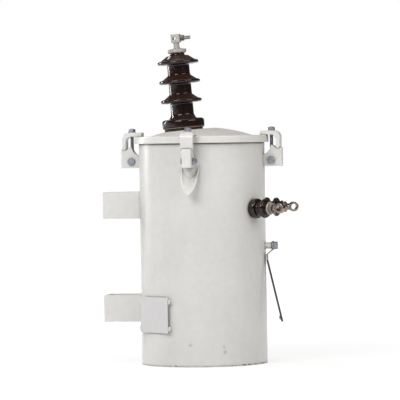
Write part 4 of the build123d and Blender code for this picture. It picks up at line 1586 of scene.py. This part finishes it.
    def bolt_mesh(self) -> Mesh:
        """The eyebolt with its thread, washer and nut."""
        upright = upright_placing(self.side.value, self.bolt_line, 0)
        washer_top = self.hook_top + self.washer_height
        nut_top = washer_top + self.nut_height
        eye = soften(self.cross_rod(self.eye_radius, self.eye_thickness / 2), self.eye_rounding, 4)
        eye = shaped(eye, self.cross_rod(self.pin_radius + self.clearance, self.eye_thickness))
        start = self.pin_height + self.eye_radius - self.thread_sink
        thread = threaded_rod(self.bolt_radius, start, nut_top + self.bolt_end, self.pitch, upright)
        washer = flat_ring(
            self.bolt_radius + self.washer_play, self.washer_radius, self.hook_top, washer_top, upright,
            self.washer_roundings, 48, 3,
        )
        return together(eye, thread, washer, hexagon(self.nut_size, washer_top, nut_top, upright))

    def pin_mesh(self) -> Mesh:
        """The cross bolt with its head and nut."""
        half = self.bracket_width / 2
        outer = half + self.head_height
        head = hexagon(self.head_size, half, outer, self.pin_placing)
        nut = hexagon(self.head_size, -outer, -half, self.pin_placing)
        flipped = self.pin_placing @ Matrix.Rotation(pi, 4, "X")
        end = outer + self.pin_end
        return together(
            head, nut, threaded_rod(self.pin_radius, -half - self.pin_sink, end, self.pin_pitch, flipped)
        )

    def weld_mesh(self) -> Mesh:
        """Fillet welds down both cheeks where they meet the wall."""
        across = self.bracket_width / 2
        out = sqrt(self.tank_radius**2 - across**2) + self.weld_offset
        low, high = self.bottom + self.weld_ends[0], self.bottom + self.shoulder - self.weld_ends[1]
        return self.weld.pair(self.placing, across + self.weld_offset, out, low, high)


@dataclass
class LiftingLug:
    """Scoop-shaped lug: half a pipe, coped to the wall and cut to a slanting edge."""

    side: Side
    tank_radius: float
    radius: float = 0.0255
    plate: float = 0.0034
    slope: float = 45.0
    reach: float = 0.041
    drop: float = 0.078
    edge_rounding: float = 0.0009
    weld: WeldBead = WeldBead(radius=0.0018)
    weld_points: int = 40
    weld_margin: float = 0.08
    weld_step: float = 0.0002
    longest_search: float = 0.1
    highest_start: float = 0.02

    def __post_init__(self) -> None:
        """Reads the lug's top from the frame and works out its planes."""
        self.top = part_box(f"lifting_lug_{self.side.node_end}")[1].z
        slope = radians(self.slope)
        outward = self.side.outward
        across = UP.cross(outward)
        self.start = outward * self.tank_radius + UP * self.top
        self.way = (outward * cos(slope) - UP * sin(slope)).normalized()
        self.edge_way = (outward * self.drop + UP * self.reach).normalized()
        self.pipe_placing = placing_of(self.start, across, self.way.cross(across))

    def build(self) -> None:
        """Builds the lug and the weld along its coped edge."""
        end = self.side.node_end
        add_piece(f"lug_{end}", self.lug_mesh(), FITTING_PAINT, [f"lifting_lug_{end}"])
        add_piece(f"lug_weld_{end}", self.weld_mesh(), FITTING_PAINT)

    def lug_mesh(self) -> Mesh:
        """The half pipe, trimmed to the wall and to its slanting edge, without its stray inner end."""
        low, high = -2 * self.radius, self.drop + 2 * self.radius
        lug = flat_ring(self.radius - self.plate, self.radius, low, high, self.pipe_placing, (0, 0))
        bisected(lug, self.start, self.edge_way)
        bmesh.ops.holes_fill(lug, edges=open_edges(lug), sides=0)
        bmesh.ops.recalc_face_normals(lug, faces=lug.faces)
        lug = coped(lug, self.tank_radius, 1.2 * self.top)
        inside = self.tank_radius * 0.5
        stray = [vert for vert in lug.verts if vert.co.dot(self.side.outward) < inside]
        bmesh.ops.delete(lug, geom=stray, context="VERTS")
        return soften_off_wall(lug, self.tank_radius, self.edge_rounding, 3)

    def weld_mesh(self) -> Mesh:
        """The bead round the outside of the coped edge."""
        points = []
        for step in range(self.weld_points + 1):
            turn = pi + self.weld_margin + (pi - 2 * self.weld_margin) * step / self.weld_points
            start = self.pipe_placing @ on_circle(self.radius, turn).to_3d()
            if self.past_edge(start) <= self.highest_start:
                points.append(self.on_wall(start))
        return self.weld.along([point for point in points if self.past_edge(point) < 0])

    def past_edge(self, point: Vector) -> float:
        """How far a point lies past the plane of the slanting edge."""
        return (point - self.start).dot(self.edge_way)

    def on_wall(self, start: Vector) -> Vector:
        """Point where a line down the pipe's slope meets the tank's wall.

        Args:
            start: A point of the line.

        Returns:
            The point, to within one step of the search.
        """
        along = 0.0
        while (start + self.way * along).xy.length < self.tank_radius and along < self.longest_search:
            along += self.weld_step
        while (start + self.way * along).xy.length > self.tank_radius and along > -self.longest_search:
            along -= self.weld_step
        return start + self.way * along


@dataclass
class PoleHanger:
    """Channel that holds the tank to the pole, with a closed upright slot."""

    level: str
    tank_radius: float
    plate: float = 0.006
    bend: float = 0.009
    slot_width: float = 0.0206
    slot_length: float = 0.032
    slot_steps: int = 16
    edge_rounding: float = 0.0007
    weld: WeldBead = WeldBead()
    weld_offset: float = 0.0003
    weld_end: float = 0.001

    def __post_init__(self) -> None:
        """Reads the channel's size from the frame."""
        self.low, self.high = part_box(f"hanger_{self.level}")
        self.half = self.high.x
        self.face = self.high.y
        self.middle = (self.low.z + self.high.z) / 2

    def build(self) -> None:
        """Builds the channel and its welds."""
        add_piece(f"pole_hanger_{self.level}", self.channel_mesh(), FITTING_PAINT, [f"hanger_{self.level}"])
        add_piece(f"hanger_welds_{self.level}", self.weld_mesh(), FITTING_PAINT)

    def slot_outline(self) -> list[Vector]:
        """Outline of the slot: two half circles, one above the other."""
        radius = self.slot_width / 2
        rise = Vector((0, (self.slot_length - self.slot_width) / 2))
        turns = [pi * step / self.slot_steps for step in range(self.slot_steps + 1)]
        upper = [on_circle(radius, turn) + rise for turn in turns]
        return upper + [-point for point in upper]

    def channel_mesh(self) -> Mesh:
        """The bent channel, coped to the tank and slotted for the pole bolt."""
        root = self.tank_radius * 0.5
        inner, back = self.half - self.plate, self.face - self.plate
        inner_bend = self.bend - self.plate
        outline = [
            (self.half, root), (self.half, self.face, self.bend), (-self.half, self.face, self.bend),
            (-self.half, root), (-inner, root), (-inner, back, inner_bend), (inner, back, inner_bend),
            (inner, root),
        ]
        channel = prism(outline, UPRIGHT, self.low.z, self.high.z, arcs=6)
        channel = coped(channel, self.tank_radius, 2 * self.high.z)
        place = wall_placing(Side.BACK.value, self.middle, self.face - 2 * self.plate)
        channel = shaped(channel, prism(self.slot_outline(), place, 0, 3 * self.plate))
        return soften_off_wall(channel, self.tank_radius, self.edge_rounding, 2)

    def weld_mesh(self) -> Mesh:
        """Fillet welds down the outside of both legs."""
        out = sqrt(self.tank_radius**2 - self.half**2) + self.weld_offset
        return self.weld.pair(
            radial_placing(Side.BACK.value), self.half + self.weld_offset, out, self.low.z + self.weld_end,
            self.high.z - self.weld_end,
        )


@dataclass
class Nameplate:
    """Blank plate on two level strips."""

    tank_radius: float
    angle: float = 140.2
    width: float = 0.118
    height: float = 0.098
    centre: float = 0.1415
    thickness: float = 0.002
    corner: float = 0.003
    overhang: float = 0.0065
    strip_height: float = 0.012
    strip_thickness: float = 0.0033
    strip_corner: float = 0.0015
    spacing: float = 0.073
    seat: float = 0.0008
    edge_rounding: float = 0.0005

    def build(self) -> None:
        """Builds the strips and the plate."""
        place = wall_placing(self.angle, self.centre, self.tank_radius - self.seat)
        strips = []
        for rise in (-self.spacing / 2, self.spacing / 2):
            outline = rectangle(self.width + 2 * self.overhang, self.strip_height, self.strip_corner, rise)
            strip = prism(outline, place, 0, self.strip_thickness, arcs=3)
            strips.append(soften(strip, self.edge_rounding, 2))
        add_piece("plate_strips", together(*strips), FITTING_PAINT, ["nameplate_strips"])
        back, face = self.strip_thickness, self.strip_thickness + self.thickness
        plate = prism(rectangle(self.width, self.height, self.corner), place, back, face, arcs=4)
        add_piece("blank_plate", soften(plate, self.edge_rounding, 2), PLATE, ["nameplate"])


@dataclass
class LowVoltageBushing:
    """Side bushing: gasket, two-disc porcelain, washer, nut and eye connector."""

    name: str
    angle: float
    height: float
    tank_radius: float
    gasket_thickness: float = 0.004
    gasket_radius: float = 0.0245
    gasket_sink: float = 0.003
    gasket_rounding: float = 0.001
    collar_radius: float = 0.0275
    collar_end: float = 0.0185
    groove_radius: float = 0.0165
    groove_draft: float = 0.001
    shed_radius: float = 0.0265
    shed_start: float = 0.0335
    shed_end: float = 0.046
    rounding: float = 0.0062
    nose_end: float = 0.055
    shank_radius: float = 0.015
    shank_length: float = 0.030
    shank_play: float = 0.001
    washer_radius: float = 0.0183
    washer_thickness: float = 0.0035
    washer_rim: float = 0.0016
    washer_dish: float = 0.004
    nut_size: float = 0.0295
    nut_height: float = 0.009
    stud_radius: float = 0.0065
    stud_length: float = 0.0085
    socket_radius: float = 0.0095
    socket_chamfer: float = 0.003
    eye_radius: float = 0.014
    eye_hole: float = 0.008
    eye_thickness: float = 0.013
    eye_rounding: float = 0.0022
    eye_centre: float = 0.089
    eye_overlap: float = 0.003
    bore_play: float = 0.002
    pitch: float = 0.002

    def __post_init__(self) -> None:
        """Works out the placing along the bushing, measured outward from the wall."""
        self.placing = wall_placing(self.angle, self.height, self.tank_radius)
        self.nut_start = self.nose_end + self.washer_thickness
        self.nut_end = self.nut_start + self.nut_height

    def build(self) -> None:
        """Builds the bushing's pieces from the wall outward."""
        end = self.name
        add_piece(f"side_gasket_{end}", self.gasket_mesh(), RUBBER, [f"lv_gasket_{end}"])
        porcelain = self.porcelain_mesh()
        add_piece(f"side_porcelain_{end}", porcelain, PORCELAIN, [f"lv_porcelain_{end}"], sharp=60)
        add_piece(f"side_washer_{end}", self.washer_mesh(), TERMINAL)
        add_piece(f"side_nut_{end}", self.stud_mesh(), WEATHERED, [f"lv_stud_{end}"], sharp=25)
        add_piece(f"side_connector_{end}", self.connector_mesh(), WEATHERED, [f"lv_connector_{end}"])

    def gasket_mesh(self) -> Mesh:
        """The rubber ring, coped to the wall."""
        ring = flat_ring(
            self.shank_radius + self.shank_play, self.gasket_radius, -self.gasket_sink, self.gasket_thickness,
            self.placing, (0, self.gasket_rounding), 64, 3,
        )
        return coped(ring, self.tank_radius, 2 * self.height)

    def porcelain_mesh(self) -> Mesh:
        """The shank, collar, groove, shed and nose, in one turned piece."""
        seat, big = self.gasket_thickness, self.rounding
        foot = seat - self.shank_length
        groove_start, groove_end = self.collar_end + self.groove_draft, self.shed_start - self.groove_draft
        return spun([
            (0, foot), (self.shank_radius, foot, 0.002), (self.shank_radius, seat, 0.0005),
            (self.collar_radius, seat, big), (self.collar_radius, self.collar_end, big),
            (self.groove_radius, groove_start, 0.003), (self.groove_radius, groove_end, 0.003),
            (self.shed_radius, self.shed_start, big), (self.shed_radius, self.shed_end, big),
            (self.groove_radius, self.shed_end, 0.001), (self.groove_radius, self.nose_end, 0.001),
            (0, self.nose_end),
        ], self.placing, 80, arcs=7)

    def washer_mesh(self) -> Mesh:
        """The pale dished washer."""
        low, high = self.nose_end, self.nut_start
        return spun([
            (self.stud_radius, low), (self.washer_radius, low, 0.0006),
            (self.washer_radius, low + self.washer_rim, 0.0008),
            (self.washer_radius - self.washer_dish, high, 0.001), (self.stud_radius, high),
        ], self.placing, 64, closed=True, arcs=3)

    def stud_mesh(self) -> Mesh:
        """The nut and the threaded stud."""
        nut = hexagon(self.nut_size, self.nut_start, self.nut_end, self.placing)
        end = self.nut_end + self.stud_length
        return together(nut, threaded_rod(self.stud_radius, self.nose_end, end, self.pitch, self.placing))

    def connector_mesh(self) -> Mesh:
        """The socket on the stud and the open eye at its end."""
        start, end = self.nut_end, self.eye_centre - self.eye_radius + self.eye_overlap
        socket = spun([
            (0, start), (self.socket_radius, start, 0.0015),
            (self.socket_radius, end - self.socket_chamfer, 0.002),
            (self.socket_radius - self.socket_chamfer, end, 0.0015), (0, end),
        ], self.placing, 56, arcs=4)
        out = self.tank_radius + self.eye_centre
        place = radial_placing(self.angle) @ Matrix.Translation((out, self.height, 0))
        half = self.eye_thickness / 2
        eye = cylinder(self.eye_radius, -half, half, place, 56, self.eye_rounding, arcs=4)
        whole = shaped(socket, eye, Cut.JOIN)
        long = 2 * self.socket_radius
        whole = shaped(whole, cylinder(self.eye_hole, -long, long, place, 48))
        bore = cylinder(self.stud_radius, start - self.bore_play, start + self.stud_length, self.placing)
        return shaped(whole, bore)


@dataclass
class GroundConnection:
    """Boss on the front of the tank, its bolt and washer, and the bent copper strap."""

    tank_radius: float
    height: float = 0.3247
    boss_radius: float = 0.00875
    boss_length: float = 0.0197
    boss_sink: float = 0.003
    boss_roundings: tuple[float, float] = (0.0008, 0.0004)
    bolt_radius: float = 0.006
    bolt_length: float = 0.013
    bolt_gap: float = 0.0005
    pitch: float = 0.00175
    washer_radius: float = 0.013
    washer_height: float = 0.0025
    washer_roundings: tuple[float, float] = (0.0004, 0.0008)
    head_size: float = 0.021
    head_height: float = 0.011
    strap_width: float = 0.022
    strap_thickness: float = 0.0018
    strap_rounding: float = 0.0003
    top_height: float = 0.011
    knee_drop: float = 0.012
    kink_drop: float = 0.012
    gap: float = 0.006
    hang: float = 0.017
    bend_radius: float = 0.003
    end_reach: float = 0.0455
    end_drop: float = 0.211
    end_nut_size: float = 0.011
    end_nut_height: float = 0.0045
    end_nut_bore: float = 0.0032
    end_nut_inset: float = 0.0125
    weld: WeldBead = WeldBead(radius=0.0018)
    weld_points: int = 48
    weld_offset: float = 0.0003

    def __post_init__(self) -> None:
        """Works out the placings of the boss and the strap."""
        self.placing = wall_placing(Side.FRONT.value, self.height, self.tank_radius)
        self.section = radial_placing(Side.FRONT.value)
        self.strap_face = self.boss_length + self.strap_thickness
        self.kink = Vector((self.tank_radius + self.gap, self.height - self.knee_drop - self.kink_drop))
        self.turn = self.kink - Vector((0, self.hang))
        self.end = Vector((self.tank_radius + self.end_reach, self.height - self.end_drop))

    def build(self) -> None:
        """Builds the boss, its weld, the bolt and the strap."""
        add_piece("ground_stub", self.boss_mesh(), FITTING_PAINT, ["ground_boss"])
        add_piece("ground_screw", self.bolt_mesh(), ZINC, ["ground_bolt"], sharp=25)
        add_piece("copper_strap", self.strap_mesh(), COPPER, ["ground_strap"])
        add_piece("captive_nut", self.nut_mesh(), TERMINAL, ["ground_strap_nut"], sharp=25)

    def boss_mesh(self) -> Mesh:
        """The round boss with its bore and the weld round its foot."""
        bore, floor, end = self.bolt_radius, self.boss_length - self.bolt_length, self.boss_length
        rim, mouth = self.boss_roundings
        boss = spun([
            (0, -self.boss_sink), (self.boss_radius, -self.boss_sink), (self.boss_radius, end, rim),
            (bore, end, mouth), (bore, floor), (0, floor),
        ], self.placing, 48, arcs=3)
        path = []
        for step in range(self.weld_points):
            foot = on_circle(self.boss_radius, 2 * pi * step / self.weld_points)
            depth = sqrt(self.tank_radius**2 - foot.x**2) - self.tank_radius
            path.append(self.placing @ Vector((*foot, depth + self.weld_offset)))
        return together(coped(boss, self.tank_radius, 2 * self.height), self.weld.along(path, looped=True))

    def bolt_mesh(self) -> Mesh:
        """The bolt's head, its washer and its threaded shank."""
        low, high = self.strap_face, self.strap_face + self.washer_height
        washer = flat_ring(
            self.bolt_radius, self.washer_radius, low, high, self.placing, self.washer_roundings, 48, 3
        )
        head = hexagon(self.head_size, high, high + self.head_height, self.placing)
        flipped = self.placing @ Matrix.Rotation(pi, 4, "X")
        end = self.bolt_length - self.boss_length + self.bolt_gap
        return together(washer, head, threaded_rod(self.bolt_radius, -high, end, self.pitch, flipped))

    def strap_mesh(self) -> Mesh:
        """The strap: upright behind the washer, kinked in under the boss, then slanting out."""
        line = self.tank_radius + self.boss_length + self.strap_thickness / 2
        bend = self.bend_radius
        path = rounded([
            (line, self.height + self.top_height), (line, self.height - self.knee_drop, bend),
            (*self.kink, bend), (*self.turn, bend), (*self.end,),
        ], closed=False, steps=6)
        left, right = [], []
        for index, point in enumerate(path):
            way = heading(path, index)
            square = Vector((-way.y, way.x)) * self.strap_thickness / 2
            left.append(point + square)
            right.append(point - square)
        wide = self.strap_width / 2
        strap = prism(left + right[::-1], self.section, -wide, wide)
        clear = 2 * self.strap_thickness
        low, high = self.boss_length - clear, self.strap_face + clear
        strap = shaped(strap, cylinder(self.bolt_radius + self.bolt_gap, low, high, self.placing))
        strap = shaped(strap, self.nut_bore(-self.end_nut_height, self.end_nut_height))
        return soften(strap, self.strap_rounding, 2)

    @property
    def nut_placing(self) -> Matrix:
        """Placing in the middle of the strap at its captive nut, with Z towards the tank."""
        way = (self.end - self.turn).normalized()
        middle = self.end - way * self.end_nut_inset
        return placing_of(Vector((0, -middle.x, middle.y)), Vector((1, 0, 0)), Vector((0, -way.x, way.y)))

    def nut_bore(self, low: float, high: float) -> Mesh:
        """Rod that leaves the captive nut's bore, from a low to a high distance."""
        return cylinder(self.end_nut_bore, low, high, self.nut_placing, 32)

    def nut_mesh(self) -> Mesh:
        """The captive nut near the strap's free end, on the side of the tank."""
        low = self.strap_thickness / 2
        high = low + self.end_nut_height
        return shaped(hexagon(self.end_nut_size, low, high, self.nut_placing), self.nut_bore(-high, 2 * high))


@dataclass(frozen=True)
class Lamp:
    """Soft lamp; its angle is in degrees to the camera's right of the camera, its power in watts."""

    name: str
    angle: float
    away: float
    height: float
    size: tuple[float, float]
    power: float
    colour: tuple[float, float, float]

    def hang(self, toward: Vector, right: Vector, aim: Vector) -> None:
        """Hangs the lamp so that it faces the object.

        Args:
            toward: Level direction from the object to the camera.
            right: Level direction to the camera's right.
            aim: Point that the lamp faces.
        """
        data = bpy.data.lights.new(self.name, "AREA")
        data.shape = "RECTANGLE"
        data.size, data.size_y = self.size
        data.energy = self.power
        data.color = self.colour
        turn = radians(self.angle)
        place = (toward * cos(turn) + right * sin(turn)) * self.away + UP * self.height
        facing = (aim - place).normalized().to_track_quat("-Z", "Y").to_matrix().to_4x4()
        in_scene(self.name, data).matrix_world = Matrix.Translation(place) @ facing


@dataclass
class Studio:
    """Pale floor, white surroundings, soft lamps and the camera."""

    azimuth: float = -79.2
    camera_height: float = 0.6106
    distance: float = 8.888
    lens: float = 288.5
    sensor: float = 36.0
    clip_end: float = 100.0
    aim_height: float = 0.4525
    aim_right: float = -0.0069
    roll: float = 0.9
    floor_size: float = 60.0
    lamp_aim: float = 0.5
    lamps: tuple[Lamp, ...] = (
        Lamp("key", -33, 2.6, 2.1, (1.6, 1.2), 51, (0.99, 0.995, 1.0)),
        Lamp("fill", 50, 3.0, 1.9, (2.2, 1.1), 37, (1.0, 0.965, 0.92)),
        Lamp("top", -20, 0.6, 3.4, (1.6, 1.6), 11, (1.0, 0.97, 0.96)),
        Lamp("edge", -121, 3.0, 1.38, (0.18, 1.7), 34, (1.0, 0.975, 0.94)),
        Lamp("back", -146, 2.4, 2.9, (0.5, 0.5), 5, (1.0, 1.0, 1.0)),
    )

    def __post_init__(self) -> None:
        """Works out the camera's level directions."""
        turn = radians(self.azimuth)
        self.toward = Vector((sin(turn), -cos(turn), 0))
        self.right = Vector((cos(turn), sin(turn), 0))

    def build(self) -> None:
        """Sets up the camera, the floor, the surroundings and the lamps."""
        self.add_camera()
        self.add_floor()
        self.add_world()
        for lamp in self.lamps:
            lamp.hang(self.toward, self.right, UP * self.lamp_aim)
        bpy.context.scene.view_settings.view_transform = "Standard"

    def add_camera(self) -> None:
        """Puts the camera where the photograph was taken from."""
        data = bpy.data.cameras.new("camera")
        data.lens = self.lens
        data.sensor_width = self.sensor
        data.clip_end = self.clip_end
        place = self.toward * self.distance + UP * self.camera_height
        aim = self.right * self.aim_right + UP * self.aim_height
        ahead = (aim - place).normalized()
        level = ahead.cross(UP).normalized()
        upward = level.cross(ahead)
        tilt = radians(self.roll)
        side, top = level * cos(tilt) - upward * sin(tilt), upward * cos(tilt) + level * sin(tilt)
        camera = in_scene("camera", data)
        camera.matrix_world = placing_of(place, side, top)
        bpy.context.scene.camera = camera

    def add_floor(self) -> None:
        """Lays a pale floor that keeps the object's shadow."""
        mesh = bmesh.new()
        bmesh.ops.create_grid(mesh, x_segments=2, y_segments=2, size=self.floor_size)
        data = mesh_data("floor", mesh)
        made = bpy.data.materials.new("pale_floor")
        sheet = blank_sheet(made)
        matt = sheet.add("BsdfDiffuse", {"Color": grey(0.82)}).outputs[0]
        bright = sheet.add("Emission", {"Color": grey(1.0), "Strength": 1.1}).outputs[0]
        rays = sheet.add("LightPath").outputs
        seen = sheet.maths("MAXIMUM", rays["Is Camera Ray"], rays["Is Transmission Ray"])
        seen = sheet.maths("MAXIMUM", seen, rays["Is Glossy Ray"])
        away = sheet.measure("LENGTH", sheet.spot())
        share = sheet.times(seen, sheet.spread(away, 0.3, 2.0, 0.70))
        mixed = sheet.add("MixShader", {0: share, 1: matt, 2: bright}).outputs[0]
        sheet.add("OutputMaterial", {"Surface": mixed})
        data.materials.append(made)
        in_scene("floor", data)

    def add_world(self) -> None:
        """White surroundings for the camera, and a plain room for the light."""
        world = bpy.data.worlds.new("studio")
        bpy.context.scene.world = world
        sheet = blank_sheet(world)
        way = sheet.add("TexCoord").outputs["Generated"]
        behind = sheet.measure("DOT_PRODUCT", way, -self.toward)
        up = sheet.add("SeparateXYZ", {"Vector": way}).outputs["Z"]
        ceiling = sheet.spread(up, 0.2, 0.8, 0.0, 0.09)
        lit = sheet.maths("ADD", sheet.spread(behind, -0.2, 0.9, 0.28, 0.40), ceiling)
        mirrored = sheet.maths("ADD", sheet.spread(behind, 0.95, 0.998, 0.07, 1.0), ceiling)
        rays = sheet.add("LightPath").outputs
        through = sheet.maths("MAXIMUM", rays["Is Glossy Ray"], rays["Is Transmission Ray"])
        level = sheet.more(lit, sheet.maths("SUBTRACT", mirrored, lit), through)
        colour = sheet.blend(rays["Is Camera Ray"], sheet.even(level), grey(1.0))
        background = sheet.add("Background", {"Color": colour, "Strength": 1.0}).outputs[0]
        sheet.add("OutputWorld", {"Surface": background})


def main() -> None:
    """Builds the object and its studio."""
    logging.basicConfig(level=logging.INFO, format="%(name)s %(message)s")
    Studio().build()
    tank = TankBody()
    tank.build()
    cover = CoverAssembly()
    cover.build()
    HighVoltageBushing(cover.pad_placing).build()
    TerminalAssembly(cover.pad_placing).build()
    for side in Side:
        CoverClamp(side, tank.radius, cover.top, cover.bolt_line).build()
    for side in (Side.LEFT, Side.RIGHT):
        LiftingLug(side, tank.radius).build()
    for level in ("lower", "upper"):
        PoleHanger(level, tank.radius).build()
    Nameplate(tank.radius).build()
    for name, angle in zip(("left", "right"), tank.hole_angles):
        LowVoltageBushing(name, angle, tank.hole_height, tank.radius).build()
    GroundConnection(tank.radius).build()


if __name__ == "__main__":
    main()
